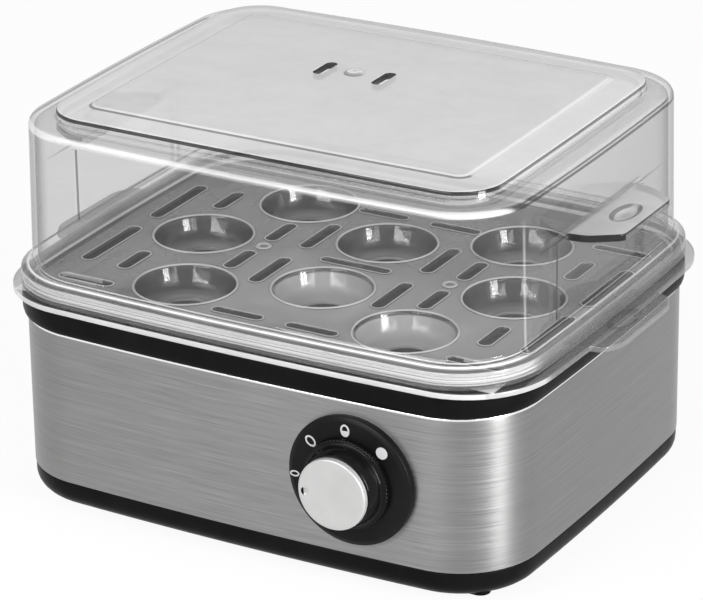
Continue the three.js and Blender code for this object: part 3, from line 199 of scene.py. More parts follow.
# Brushed steel: long level scratches that run round the wrap
brushing = {"along": 45, "across": 4200, "streak": 16, "streakAcross": 1500, "dark": (0.19, 0.19, 0.189),
            "light": (0.30, 0.30, 0.298), "gloss": (0.32, 0.48), "relief": 0.00002, "hemFoot": 0.0798,
            "hemHighlight": (0.86, 0.86, 0.86)}


def brushedFinish():
    finish, tree = blankFinish("brushedSteel")
    fine = grain(tree, (brushing["along"], brushing["along"], brushing["across"]), detail=5)
    streak = grain(tree, (brushing["streak"], brushing["streak"], brushing["streakAcross"]), detail=3)
    both = maths(tree, "MULTIPLY_ADD", fine, 0.6, ranged(tree, streak, 0, 0.4, 0, 1))
    place = node(tree, "TexCoord").outputs["Object"]
    height = node(tree, "SeparateXYZ", {"Vector": place}).outputs["Z"]
    # Above the hem's foot the steel is made smoother and painted near white: partly a real smoother gloss, partly a
    # painted highlight along the hemmed top edge
    hem = ranged(tree, height, 0, 1, brushing["hemFoot"] - 0.0001, brushing["hemFoot"])
    steel = tinted(tree, both, brushing["dark"], brushing["light"])
    colour = node(tree, "Mix", {"Factor": hem, 6: steel, 7: (*brushing["hemHighlight"], 1)}, data_type="RGBA").outputs[2]
    rough = result(tree, "Mix", {"Factor": hem, 2: ranged(tree, fine, *brushing["gloss"]), 3: 0.2})
    shader = result(tree, "BsdfPrincipled", {
        "Base Color": colour,
        "Roughness": rough,
        "Metallic": 1,
        "Anisotropic": 0.7,
        "Anisotropic Rotation": 0.25,
        "Tangent": result(tree, "Tangent", direction_type="RADIAL", axis="Z"),
        "Normal": bumped(tree, fine, 0.6, brushing["relief"]),
    })
    return surfaced(finish, shader)


# Satin cap: light metal with a faint mottle and a fine even texture
def capFinish():
    finish, tree = blankFinish("satinCap")
    shader = result(tree, "BsdfPrincipled", {
        "Base Color": tinted(tree, grain(tree, even(90)), (0.41, 0.41, 0.407), (0.455, 0.455, 0.452)),
        "Roughness": ranged(tree, grain(tree, even(1500), detail=2), 0.32, 0.42),
        "Metallic": 0.35,
        "Normal": bumped(tree, grain(tree, even(3500), detail=2), 0.35, 0.00001),
    })
    return surfaced(finish, shader)


# See-through plastic: it darkens and mirrors more where it is seen edge on, and it has painted light and painted
# shade: lighter and darker places set by position and aim, standing in for highlights and shade.
# Each has a weight and limits: low, high and how softly they fade. Heights are first, and all are in metres from
# the body's middle: x and y outwards, across to the right, front to the control. Upright and ahead are a face's aim
def paintedPlace(weight, low, high, soft, **others):
    return {"weight": weight, "z": (low, high, soft), **others}


facingUp, nearlyUp, facingOut = (0.85, 1.1, 0.1), (0.8, 1.1, 0.1), (-0.1, 0.96, 0.03)
forward, backward, steep = (0.2, 1.1, 0.2), (-1.1, -0.3, 0.2), (-0.1, 0.93, 0.03)
lidTabEnd = (0.1115, 0.131, 0.001)
paintedSkirtLines = [(0.7, 0.1012, 0.1016), (0.3, 0.0992, 0.1003), (0.17, 0.0976, 0.0992), (0.42, 0.097, 0.0976),
              (0.2, 0.0958, 0.097), (0.36, 0.0954, 0.0958)]
seeThrough = {
    "clearLid": dict(
        face=even(0.912), edge=even(0.5), bodyColour=even(0.81), bodyShare=0.012, mirror=0.028,
        gloss=(0.02, 0.05), ripple=0.00002, paintedLightShare=0.93, paintedShadeShare=0.88,
        # Painted light: lighter tones and bright lines where the lid catches light, on the top plate, the ledge, the
        # tab tops, the front shoulder and the skirt, and a painted vertical highlight at the front right corner
        paintedLight=[
            paintedPlace(0.63, 0.1664, 0.1696, 0.0002, upright=facingUp),  # top plate
            paintedPlace(0.2, 0.1643, 0.1662, 0.0002, upright=(-0.1, 0.85, 0.1)),
            paintedPlace(0.22, 0.1626, 0.1634, 0.0002, upright=facingUp),
            paintedPlace(0.6, 0.1369, 0.1385, 0.0005, x=(0.111, 0.131, 0.001), upright=nearlyUp),
            paintedPlace(0.5, 0.1606, 0.1626, 0.0006, ahead=(0.4, 0.93, 0.1)),  # front shoulder
            paintedPlace(0.3, 0.1012, 0.1016, 0.0001),
            paintedPlace(0.06, 0.0935, 0.1002, 0.0003),
            paintedPlace(0.2, 0.1045, 0.15, 0.006, across=(0.1092, 0.112, 0.0003), front=(0.0637, 0.0645, 0.0006)),
        ] + [paintedPlace(*band, 0.0001, ahead=forward) for band in paintedSkirtLines],
        # Painted shade: dark lines and darker places where the lid's edges, creases and slot walls fall in shade,
        # along the plate's edges and foot, the shoulder, the panel's slope, the tabs, the skirt and the pocket's front
        # edge
        paintedShade=[
            paintedPlace(1, 0.1654, 0.1667, 0.0001, ahead=forward, upright=steep),  # edge of the top plate
            paintedPlace(0.75, 0.1657, 0.1667, 0.0001, upright=steep),
            paintedPlace(0.3, 0.1633, 0.164, 0.0002, ahead=forward),
            paintedPlace(0.75, 0.1603, 0.1612, 0.0003, ahead=(-1.1, 0.2, 0.1), upright=(0.1, 0.8, 0.1)),
            paintedPlace(0.5, 0.1603, 0.1633, 0.0003, ahead=backward, upright=facingOut),
            paintedPlace(0.75, 0.1671, 0.1674, 0.0001, ahead=(0.08, 1.1, 0.1)),  # slope round the panel
            paintedPlace(0.6, 0.168, 0.1688, 0.0002, ahead=(0.2, 1.1, 0.3)),
            paintedPlace(1, 0.165, 0.1678, 0.0002, x=(-1, 0.04, 0.001), front=(-0.03, -0.005, 0.001),
                 upright=(-0.1, 0.5, 0.2)),  # walls of the steam slots
            paintedPlace(1, 0.135, 0.138, 0.0001, x=lidTabEnd, ahead=(0.3, 1.1, 0.1)),
            paintedPlace(0.75, 0.1373, 0.138, 0.0002, x=lidTabEnd, upright=facingOut),
            paintedPlace(0.5, 0.1004, 0.1008, 0.0001, ahead=forward),
            paintedPlace(0.3, 0.0932, 0.0952, 0.0002, ahead=forward),
            paintedPlace(0.75, 0.1045, 0.135, 0.001, x=(0.1094, 0.1101, 0.0002), front=(0.0362, 0.0372, 0.0002)),
        ],
    ),
    "smokyTray": dict(
        face=even(0.74), edge=even(0.46), bodyColour=even(0.8), bodyShare=0.01, mirror=0.05,
        gloss=(0.03, 0.05), ripple=0.00001, paintedLightShare=0.6, paintedShadeShare=0.6,
        # Painted light: bright lines on the slot lips and the flange's front edge, and lighter tones on the deck, in
        # some wells, on the well floors and on the hand tabs
        paintedLight=[
            paintedPlace(1, 0.0923, 0.0931, 0.0001, x=(-1, 0.108, 0.001), y=(-1, 0.086, 0.001)),  # beads and lips
            paintedPlace(0.42, 0.0915, 0.09205, 0.0003, upright=nearlyUp),
            paintedPlace(0.62, 0.0915, 0.09205, 0.0003, upright=nearlyUp, across=(-0.03, 0.12, 0.05),
                 front=(0.01, 0.1, 0.06)),
            paintedPlace(0.3, 0.0814, 0.0824, 0.0006, upright=(0.8, 1.1, 0.15)),  # floors of the wells
            paintedPlace(0.6, 0.0812, 0.0905, 0.0006, across=(-0.021, 0.021, 0.001), front=(0.006, 0.048, 0.001)),
            paintedPlace(0.6, 0.0812, 0.0905, 0.0006, across=(0.03, 0.071, 0.001), front=(0.029, 0.071, 0.001)),
            paintedPlace(0.8, 0.0806, 0.0819, 0.0002, upright=(-0.1, 0.4, 0.1)),
            paintedPlace(0.16, 0.0905, 0.0931, 0.0002, x=(0.1165, 0.131, 0.001)),  # hand tabs
            paintedPlace(0.12, 0.0905, 0.0931, 0.0002, x=(0.1225, 0.131, 0.001), upright=(-0.1, 0.9, 0.1)),
            paintedPlace(0.7, 0.0908, 0.0927, 0.0002, x=(0.083, 0.122, 0.001), front=(0.05, 0.1, 0.001),
                 ahead=(0.15, 1.1, 0.15)),  # flange
            paintedPlace(0.9, 0.0908, 0.0927, 0.0002, front=(0.088, 0.1, 0.001), ahead=(0.3, 1.1, 0.2)),
        ],
        # Painted shade on the left walls of the wells
        paintedShade=[paintedPlace(0.35, 0.0806, 0.0905, 0.0004, across=(-0.1, -0.025, 0.001), upright=(-0.1, 0.6, 0.1))],
    ),
}


def paintedPlaceMask(tree, values, place):
    mask = place["weight"]
    for key, limits in place.items():
        if key == "weight":
            continue
        low, high, soft = limits
        rise = ranged(tree, values[key], 0, 1, low - soft, low)
        fall = ranged(tree, values[key], 1, 0, high, high + soft)
        mask = maths(tree, "MULTIPLY", maths(tree, "MULTIPLY", rise, fall), mask)
    return mask


def paintedPlacesMask(tree, places):
    coordinates = node(tree, "TexCoord")
    middle = result(tree, "VectorMath", {0: coordinates.outputs["Object"], 1: (0, planShift / 1000, 0)},
                    operation="SUBTRACT")
    values = {}
    for vector, names in ((middle, ("x", "y", "z", "front")),
                          (coordinates.outputs["Normal"], ("sideways", "lengthways", "upright", "ahead"))):
        sizes = result(tree, "VectorMath", {0: vector}, operation="ABSOLUTE")
        plain = node(tree, "SeparateXYZ", {"Vector": sizes})
        signed = node(tree, "SeparateXYZ", {"Vector": vector})
        values.update(zip(names, (*plain.outputs, maths(tree, "MULTIPLY", signed.outputs["Y"], -1))))
        values.setdefault("across", signed.outputs["X"])
    masks = [paintedPlaceMask(tree, values, place) for place in places]
    whole = masks[0]
    for mask in masks[1:]:
        whole = maths(tree, "MAXIMUM", whole, mask)
    return whole


plastic = {"falloff": 5, "rimShine": 0.95, "hazeScale": 45, "haze": (0.93, 1.07), "waveScale": 16, "waveStrength": 0.3,
           "tintPlaces": (0.5, 0.99), "polishScale": 260}


def seeThroughFinish(name, face, edge, bodyColour, bodyShare, mirror, gloss, ripple, paintedLight, paintedLightShare, paintedShade,
                     paintedShadeShare):
    finish, tree = blankFinish(name)
    facing = node(tree, "LayerWeight", {"Blend": 0.5}).outputs["Facing"]
    rim = maths(tree, "MULTIPLY_ADD", maths(tree, "POWER", facing, plastic["falloff"]), plastic["rimShine"], mirror)
    haze = ranged(tree, grain(tree, even(plastic["hazeScale"])), *plastic["haze"])
    # Painted light raises the milky share; painted shade darkens both the see-through tint and the milky colour
    share = maths(tree, "MULTIPLY", ranged(tree, paintedPlacesMask(tree, paintedLight), bodyShare, paintedLightShare, 0, 1), haze)
    paintedDimming = ranged(tree, paintedPlacesMask(tree, paintedShade), 1, 1 - paintedShadeShare, 0, 1)
    wave = bumped(tree, grain(tree, even(plastic["waveScale"]), detail=2), plastic["waveStrength"], ripple)
    tint = scaled(tree, tinted(tree, facing, face, edge, *plastic["tintPlaces"]), paintedDimming)
    body = scaled(tree, bodyColour, paintedDimming)
    through = result(tree, "BsdfTransparent", {"Color": tint})
    solid = result(tree, "BsdfDiffuse", {"Color": body, "Normal": wave})
    rough = ranged(tree, grain(tree, even(plastic["polishScale"])), *gloss)
    polish = result(tree, "BsdfGlossy", {"Roughness": rough, "Normal": wave})
    inside = result(tree, "MixShader", {"Fac": share, 1: through, 2: solid})
    return surfaced(finish, result(tree, "MixShader", {"Fac": rim, 1: inside, 2: polish}))


finishes = {name: plainFinish(name, **values) for name, values in plainFinishes.items()}
finishes["brushedSteel"] = brushedFinish()
finishes["satinCap"] = capFinish()
for finishName, values in seeThrough.items():
    finishes[finishName] = seeThroughFinish(finishName, **values)
print("finishes mixed:", len(finishes))


# Outlines in plan, as the CAD has them: a rounded rectangle whose sides bow out
bodyPlan = {"halfLength": 115, "halfDepth": 94.85, "cornerRadius": 34.2, "frontBow": 1.75, "sideBow": 1}
trayPlan = {"halfLength": 121, "halfDepth": 97.6, "cornerRadius": 37, "frontBow": 1.55, "sideBow": 1}
platePlan = {"halfLength": 99.25, "halfDepth": 78.35, "cornerRadius": 19.2, "frontBow": 0.4, "sideBow": 0.4}
cornerSteps, edgeSteps = 14, 8
quadrants = [(signX, signY) for signX in (-1, 1) for signY in (-1, 1)]
endPlaces = [50, 38.7, 38.2, 37, 36.5, 30, 20, 10]
endPlaces += [0] + [-place for place in reversed(endPlaces)]
frontPlaces = list(range(70, -80, -10))


def moveBy(bm, verts, *way):
    bmesh.ops.translate(bm, verts=verts, vec=way)


def turnBy(bm, verts, angle, axis="X"):
    bmesh.ops.rotate(bm, verts=verts, matrix=Matrix.Rotation(angle, 3, axis))


def loopEdges(verts):
    return list({edge for vert in verts for edge in vert.link_edges})


def planLoop(bm, places, height):
    verts = bmesh.ops.create_circle(bm, segments=len(places), radius=1)["verts"]
    for vert, (x, y) in zip(verts, places):
        vert.co = (x, y, height)
    return loopEdges(verts)


# How far the bowed front and rear walls stand out at one place across
def wallAt(x):
    middle = bodyPlan["halfLength"] - bodyPlan["sideBow"] - bodyPlan["cornerRadius"]
    return bodyPlan["halfDepth"] - bodyPlan["frontBow"] * (x / middle) ** 2


# One level of a casing, drawn in by an inset; a pocket moves the middle of its ends to one plane
def ring(bm, inset, height, plan=bodyPlan, pocket=None):
    centreX = plan["halfLength"] - plan["sideBow"] - plan["cornerRadius"]
    centreY = plan["halfDepth"] - plan["frontBow"] - plan["cornerRadius"]
    radius = plan["cornerRadius"] - inset
    places = []
    for corner in range(4):
        signX = 1 if corner in (0, 3) else -1
        signY = 1 if corner < 2 else -1
        for step in range(cornerSteps + 1):
            angle = quarter * (corner + step / cornerSteps)
            places.append((signX * centreX + radius * math.cos(angle), signY * centreY + radius * math.sin(angle)))
        if corner % 2 == 0:
            for x in frontPlaces:
                bow = plan["frontBow"] * (1 - (x / centreX) ** 2)
                places.append((signY * x, signY * (centreY + radius + bow)))
        else:
            for y in endPlaces:
                bow = plan["sideBow"] * (1 - (y / centreY) ** 2)
                x = centreX + radius + bow
                if pocket and abs(y) <= pocket[1]:
                    x = pocket[0]
                places.append((signX * x, -signX * y))
    return planLoop(bm, places, height)


# Each pair of loops is pulled well apart while it is bridged, so that level ones can't turn against each other
bridgeReach = 400


def bridged(bm, loops, closed=False):
    pairs = list(zip(loops, loops[1:]))
    if closed:
        pairs.append((loops[-1], loops[0]))
    for lower, upper in pairs:
        verts = list({vert for edge in upper for vert in edge.verts})
        apart = bridgeReach + lower[0].verts[0].co.z - verts[0].co.z
        moveBy(bm, verts, 0, 0, apart)
        bmesh.ops.bridge_loops(bm, edges=lower + upper)
        moveBy(bm, verts, 0, 0, -apart)
    return loops


def casing(bm, levels, closed=False):
    return bridged(bm, [ring(bm, *level) for level in levels], closed)


def filled(bm, edges, up=1):
    bmesh.ops.triangle_fill(bm, edges=edges, use_beauty=True, use_dissolve=False, normal=(0, 0, up))


# Open edges at one height: the outline of a level face and of every hole in it
def openEdges(bm, height):
    return [edge for edge in bm.edges
            if edge.is_boundary and all(abs(vert.co.z - height) < 0.001 for vert in edge.verts)]


# A profile's corners, each with a rounding, as pairs of inset and height
def rounded(corners, steps=4):
    path = []
    for index, (across, height, reach) in enumerate(corners):
        here = Vector((across, height))
        if not reach or index in (0, len(corners) - 1):
            path.append((across, height))
            continue
        before = Vector(corners[index - 1][:2]) - here
        after = Vector(corners[index + 1][:2]) - here
        start = here + before.normalized() * min(reach, before.length * 0.49)
        end = here + after.normalized() * min(reach, after.length * 0.49)
        for step in range(steps + 1):
            share = step / steps
            point = start * (1 - share) ** 2 + here * (2 * share * (1 - share)) + end * share ** 2
            path.append((point.x, point.y))
    return path


def circleLoop(bm, x, y, radius, height, segments=48):
    verts = bmesh.ops.create_circle(bm, segments=segments, radius=radius)["verts"]
    moveBy(bm, verts, x, y, height)
    return loopEdges(verts)


# A loop with straight sides and round ends
def slotLoop(bm, x, y, length, width, alongY, offset, height, segments=20):
    verts = bmesh.ops.create_circle(bm, segments=segments, radius=width / 2 + offset)["verts"]
    turnBy(bm, verts, math.pi / segments, "Z")
    half = (length - width) / 2
    for vert in verts:
        if alongY:
            vert.co.y += half if vert.co.y > 0 else -half
        else:
            vert.co.x += half if vert.co.x > 0 else -half
    moveBy(bm, verts, x, y, height)
    return loopEdges(verts)


def ovalLoop(bm, x, y, halfX, halfY, height, segments=36):
    verts = bmesh.ops.create_circle(bm, segments=segments, radius=1)["verts"]
    bmesh.ops.scale(bm, verts=verts, vec=(halfX, halfY, 1))
    moveBy(bm, verts, x, y, height)
    return loopEdges(verts)


# A shape turned about +Z from pairs of radius and height
def spun(bm, profile, sides=64):
    verts = [bm.verts.new((radius, 0, height)) for radius, height in profile]
    edges = [bm.edges.new(pair) for pair in zip(verts, verts[1:])]
    bmesh.ops.spin(bm, geom=verts + edges, cent=(0, 0, 0), axis=(0, 0, 1), angle=4 * quarter, steps=sides,
                   use_merge=True)


def mend(bm):
    bmesh.ops.remove_doubles(bm, verts=bm.verts, dist=mergeDistance)
    bmesh.ops.recalc_face_normals(bm, faces=bm.faces)


# A finished mesh goes to metres, gets its shading, and rides on its body in place of its node
def keep(bm, name, finish, body, cadName=None):
    mend(bm)
    for face in bm.faces:
        face.smooth = True
    for edge in bm.edges:
        edge.smooth = len(edge.link_faces) == 2 and edge.calc_face_angle(0) < sharpAngle
    moveBy(bm, bm.verts, 0, planShift, 0)
    bmesh.ops.scale(bm, verts=bm.verts, vec=even(0.001))
    piece = placed(name, meshOf(bm, name))
    piece.data.materials.append(finishes[finish])
    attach(piece, body)
    if cadName:
        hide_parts(cadName)


# The moulded base with its rounded lower edge and four screw pits
basePan = {"inset": 0.3, "edgeInset": 9, "bottom": 3.3, "sideFoot": 11.3, "top": 15, "wall": 2.4,
           "screwX": 98.3, "screwY": 77.4, "pitRadius": 3.7, "pitTop": 7.7, "floor": 5.7}


def makeBasePan():
    bm = bmesh.new()
    b = basePan
    outside = [(b["edgeInset"] + 2, b["bottom"])]
    for step in range(edgeSteps + 1):
        angle = quarter * step / edgeSteps
        outside.append((b["edgeInset"] - (b["edgeInset"] - b["inset"]) * math.sin(angle),
                        b["bottom"] + (b["sideFoot"] - b["bottom"]) * (1 - math.cos(angle))))
    outside += rounded([(b["inset"], b["sideFoot"], 0), (b["inset"], b["top"], 0.5),
                        (b["inset"] + b["wall"], b["top"], 0)])[1:]
    outside += [(b["inset"] + b["wall"], b["sideFoot"]), (b["edgeInset"] + b["wall"], b["floor"])]
    loops = casing(bm, outside)
    pits = []
    for signX, signY in quadrants:
        rims = bridged(bm, [
            circleLoop(bm, signX * b["screwX"], signY * b["screwY"], b["pitRadius"] + reach, height, 24)
            for reach, height in ((0.4, b["bottom"]), (0, b["bottom"] + 0.4), (0, b["pitTop"]))])
        filled(bm, rims[-1], -1)
        pits += rims[0]
    filled(bm, loops[0] + pits, -1)
    filled(bm, loops[-1])
    keep(bm, "basePan", "satinBlack", "housing", "base_pan")


makeBasePan()


# The steel wrap, hemmed at its top, with the hole that the rear bushing fills
steelWrap = {"bottom": 15.3, "top": 80.6, "sheet": 0.8, "hem": 0.4, "holeX": -58, "holeY": 94, "holeZ": 30,
             "holeRadius": 5.9, "holeDepth": 30}


# One mesh with another one cut out of it
def cutAway(bm, cutter):
    blocks = []
    for source in (bm, cutter):
        mend(source)
        blocks.append(placed("cutting", meshOf(source, "cutting")))
    cut = blocks[0].modifiers.new("cut", "BOOLEAN")
    cut.object = blocks[1]
    cut.operation = "DIFFERENCE"
    cut.solver = "EXACT"
    carved = bmesh.new()
    carved.from_object(blocks[0], bpy.context.evaluated_depsgraph_get())
    for block in blocks:
        data = block.data
        bpy.data.objects.remove(block)
        bpy.data.meshes.remove(data)
    return carved


def makeSteelWrap():
    bm = bmesh.new()
    s = steelWrap
    outside = rounded([(s["sheet"], s["bottom"] + 3, 0), (s["sheet"], s["bottom"], 0.15), (0, s["bottom"], 0.3),
                       (0, s["bottom"] + 8, 0)])
    outside += [(0, s["bottom"] + share * (s["top"] - s["bottom"])) for share in (0.3, 0.5, 0.7)]
    outside += rounded([(0, s["top"] - 4, 0), (0, s["top"], s["hem"]), (s["sheet"], s["top"], 0.2),
                        (s["sheet"], s["top"] - 3, 0)])
    casing(bm, outside, closed=True)
    cutter = bmesh.new()
    bmesh.ops.create_cone(cutter, cap_ends=True, segments=32, radius1=s["holeRadius"], radius2=s["holeRadius"],
                          depth=s["holeDepth"])
    turnBy(cutter, cutter.verts, quarter)
    moveBy(cutter, cutter.verts, s["holeX"], s["holeY"], s["holeZ"])
    keep(cutAway(bm, cutter), "steelWrap", "brushedSteel", "housing", "steel_shell")


makeSteelWrap()


# The black rim band between the steel and the tray
rimBand = {"outset": 2, "bottom": 80.9, "top": 90.3, "innerInset": 17, "underside": 87.3, "tuckInset": 1.1,
           "tuckWall": 2.2, "tuckDepth": 6}


def makeRimBand():
    bm = bmesh.new()
    r = rimBand
    inner = r["tuckInset"] + r["tuckWall"]
    tuck = r["bottom"] - r["tuckDepth"]
    levels = rounded([
        (r["tuckInset"], tuck, 0), (r["tuckInset"], r["bottom"], 0), (0, r["bottom"], 0.1),
        (-r["outset"] + 0.6, r["bottom"] + 0.5, 0.6), (-r["outset"], r["bottom"] + 2.5, 1.5),
        (-r["outset"], r["top"], 1.2), (r["innerInset"], r["top"], 0.4), (r["innerInset"], r["underside"], 0.3),
        (inner, r["underside"], 0.5), (inner, tuck, 0),
    ])
    casing(bm, levels, closed=True)
    keep(bm, "rimBand", "satinBlack", "housing", "top_rim")


makeRimBand()


# The coated water pan
waterPan = {"flangeInset": 12.4, "top": 85.5, "sheet": 0.8, "wallInset": 18.3, "draft": 0.4, "floor": 68,
            "rounding": 6}


def makeWaterPan():
    bm = bmesh.new()
    p = waterPan
    inner = p["wallInset"] + p["sheet"]
    foot = p["draft"] + 0.01
    under = p["top"] - p["sheet"]
    levels = rounded([
        (p["wallInset"] + p["rounding"] + 4, p["floor"] - p["sheet"], 0),
        (p["wallInset"] + foot, p["floor"] - p["sheet"], p["rounding"]), (p["wallInset"], under, 0.3),
        (p["flangeInset"], under, 0.2), (p["flangeInset"], p["top"], 0.2), (inner, p["top"], 1.2),
        (inner + foot, p["floor"], p["rounding"]), (inner + p["rounding"] + 4, p["floor"], 0),
    ], steps=6)
    loops = casing(bm, levels)
    filled(bm, loops[0], -1)
    filled(bm, loops[-1])
    keep(bm, "waterPan", "panCoating", "housing", "water_pan")


makeWaterPan()
print("base, steel wrap, rim and pan made")


# Turned shapes of the control face forwards: their axis goes from +Z to -Y at the dial's middle
control = {"x": 51.4, "z": 47.9}


def ontoFront(bm):
    turnBy(bm, bm.verts, quarter)
    moveBy(bm, bm.verts, control["x"], 0, control["z"])


# The dial plate, bevelled, its back drawn to the bowed wall
dial = {"radius": 27, "face": 97.25, "back": 94.1, "bevelWidth": 2, "bevelDepth": 0.9, "bore": 5.3, "sunk": 0.2}


def makeDial():
    bm = bmesh.new()
    d = dial
    spun(bm, rounded([
        (d["bore"], d["back"], 0), (d["radius"] - 0.05, d["back"], 0),
        (d["radius"], d["face"] - d["bevelDepth"], 0.35), (d["radius"] - d["bevelWidth"], d["face"], 0.5),
        (d["bore"] + 0.3, d["face"], 0.2), (d["bore"], d["face"] - 0.3, 0),
    ], steps=3) + [(d["bore"], d["back"])], sides=96)
    ontoFront(bm)
    for vert in bm.verts:
        if vert.co.y > -d["back"] - 0.01:
            vert.co.y = d["sunk"] - wallAt(vert.co.x)
    keep(bm, "dialPlate", "dialBlack", "housing", "dial_plate")


makeDial()


# Painted marks on the dial: a zero, then an egg's outline, an egg filled to its middle and a full disc
dialMarks = {"reach": 21.5, "zeroReach": 23.9, "proud": 0.06, "line": 0.75, "zeroLine": 0.62, "egg": (2.0, 2.6),
             "disc": (2.5, 2.5), "zero": (1.3, 2.1), "overlap": 0.02, "fillBelow": 0.1,
             "zeroAngle": -94, "outlineAngle": -50, "halfAngle": -3, "discAngle": 44}


def turnMark(bm, angle, reach):
    moveBy(bm, bm.verts, 0, reach, 0)
    turnBy(bm, bm.verts, -math.radians(angle), "Z")


def ovalMark(halfX, halfY, line, angle, reach, full=False):
    bm = bmesh.new()
    low, high = dial["face"] - 0.05, dial["face"] + dialMarks["proud"]
    outer = bridged(bm, [ovalLoop(bm, 0, 0, halfX, halfY, height) for height in (low, high)])
    if full:
        filled(bm, outer[1])
    else:
        inner = bridged(bm, [ovalLoop(bm, 0, 0, halfX - line, halfY - line, height) for height in (high, low)])
        bridged(bm, [outer[1], inner[0]])
    turnMark(bm, angle, reach)
    return bm


def joined(target, source):
    data = meshOf(source, "joining")
    target.from_mesh(data)
    bpy.data.meshes.remove(data)


def makeMarks():
    m = dialMarks
    bm = ovalMark(*m["egg"], m["line"], m["outlineAngle"], m["reach"])
    joined(bm, ovalMark(*m["disc"], 0, m["discAngle"], m["reach"], full=True))
    joined(bm, ovalMark(*m["zero"], m["zeroLine"], m["zeroAngle"], m["zeroReach"]))
    half = ovalMark(*m["egg"], m["line"], 0, 0)
    filling = ovalMark(*(size + m["overlap"] - m["line"] for size in m["egg"]), 0, 0, 0, full=True)
    bmesh.ops.bisect_plane(filling, geom=filling.verts[:] + filling.edges[:] + filling.faces[:], dist=0.0001,
                           plane_co=(0, -m["fillBelow"], 0), plane_no=(0, 1, 0), clear_outer=True)
    joined(half, filling)
    turnMark(half, m["halfAngle"], m["reach"])
    joined(bm, half)
    ontoFront(bm)
    keep(bm, "dialMarks", "markPaint", "housing")


makeMarks()


def capEnds(bm):
    bmesh.ops.holes_fill(bm, edges=[edge for edge in bm.edges if edge.is_boundary], sides=0)


# The knob: a finely ribbed skirt and a tapered body, its cap in satin metal
knob = {"back": 97.85, "skirtRadius": 18.8, "skirtHeight": 2.2, "ribs": 72, "ribDepth": 0.45,
        "bodyRadius": 16.6, "topRadius": 14.8, "front": 107.65, "hollowRadius": 11, "hollowDepth": 4.6,
        "recessRadius": 9.3, "recessDepth": 2.2, "capRadius": 14.7, "capBack": 107.95, "capFront": 110.55,
        "pointerReach": 11.6, "pointerRadius": 1.5, "pointerDepth": 0.38, "restAngle": -94}


def makeKnob():
    bm = bmesh.new()
    k = knob
    back, front, body = k["back"], k["front"], k["bodyRadius"]
    shoulder = back + k["skirtHeight"]
    sides = k["ribs"] * 4
    spun(bm, rounded([
        (k["hollowRadius"], back + k["hollowDepth"], 0), (k["hollowRadius"], back, 0.3),
        (k["skirtRadius"], back, 0.3), (k["skirtRadius"], shoulder, 0.5), (body + 0.9, shoulder + 0.25, 0.3),
        (body + 0.1, shoulder + 0.9, 0.7), (body - 0.3, shoulder + 3, 1),
        (k["topRadius"] + 0.1, front - 0.6, 0.5), (k["topRadius"] - 0.8, front, 0.5),
        (k["recessRadius"], front, 0.1), (k["recessRadius"], front - k["recessDepth"], 0),
    ], steps=3), sides=sides)
    for vert in bm.verts:  # every rib is four spans wide, its valley pressed in
        radius = math.hypot(vert.co.x, vert.co.y)
        if radius > body + 1.2 and vert.co.z < shoulder + 0.1:
            place = math.atan2(vert.co.y, vert.co.x) / (4 * quarter / sides) % 4
            depth = k["ribDepth"] * (1 - abs(place - 2) / 2)
            vert.co.x *= 1 - depth / radius
            vert.co.y *= 1 - depth / radius
    capEnds(bm)
    ontoFront(bm)
    keep(bm, "knobGrip", "knobBlack", "knob", "knob_grip")


makeKnob()


def makeCap():
    bm = bmesh.new()
    k = knob
    back, front = k["capBack"], k["capFront"]
    turned = rounded([(0, back, 0), (k["capRadius"], back, 0.25), (k["capRadius"], front, 0.75),
                      (k["capRadius"] - 2.5, front, 0)], steps=5)
    spun(bm, turned[1:], sides=96)
    frontRim = openEdges(bm, front)
    filled(bm, openEdges(bm, back), -1)
    angle = math.radians(k["restAngle"])
    x, y = k["pointerReach"] * math.sin(angle), k["pointerReach"] * math.cos(angle)
    dish = bridged(bm, [
        circleLoop(bm, x, y, k["pointerRadius"] * reach, front - k["pointerDepth"] * depth, 24)
        for reach, depth in ((1.15, 0), (1.02, 0.04), (0.9, 0.3), (0.72, 0.7), (0.4, 0.95), (0.2, 1))])
    filled(bm, dish[-1])
    filled(bm, frontRim + dish[0])
    ontoFront(bm)
    keep(bm, "knobCap", "satinCap", "knob", "knob_cap")


makeCap()
print("dial, marks and knob made")


# Rubber feet
feet = {"x": 78, "y": 52, "radius": 8, "height": 3, "stem": 3, "hollow": 0.25}


def makeFoot(name, signX, signY):
    bm = bmesh.new()
    f = feet
    spun(bm, rounded([
        (0.01, f["hollow"], 0), (f["radius"] - 2, f["hollow"], 0.2), (f["radius"] - 1.7, 0, 0.2),
        (f["radius"], 0, 0.5), (f["radius"], f["height"], 0.4), (f["stem"], f["height"], 0),
        (f["stem"], f["height"] + 1, 0), (0.01, f["height"] + 1, 0),
    ], steps=3), sides=40)
    capEnds(bm)
    moveBy(bm, bm.verts, signX * f["x"], signY * f["y"], 0)
    keep(bm, "rubberFoot-" + name, "rubberBlack", "housing", "foot_" + name)


corners = {"front_left": (-1, -1), "front_right": (1, -1), "back_left": (-1, 1), "back_right": (1, 1)}
for cornerName, signs in corners.items():
    makeFoot(cornerName, *signs)


# The cord bushing: a collar on each side of the rear wall round an open bore
bushing = {"x": -58, "z": 30, "bore": 3.6, "neck": 5.6, "collar": 8, "height": 2.6, "inner": 2, "sheet": 0.8,
           "gap": 0.3, "lean": 0.26}


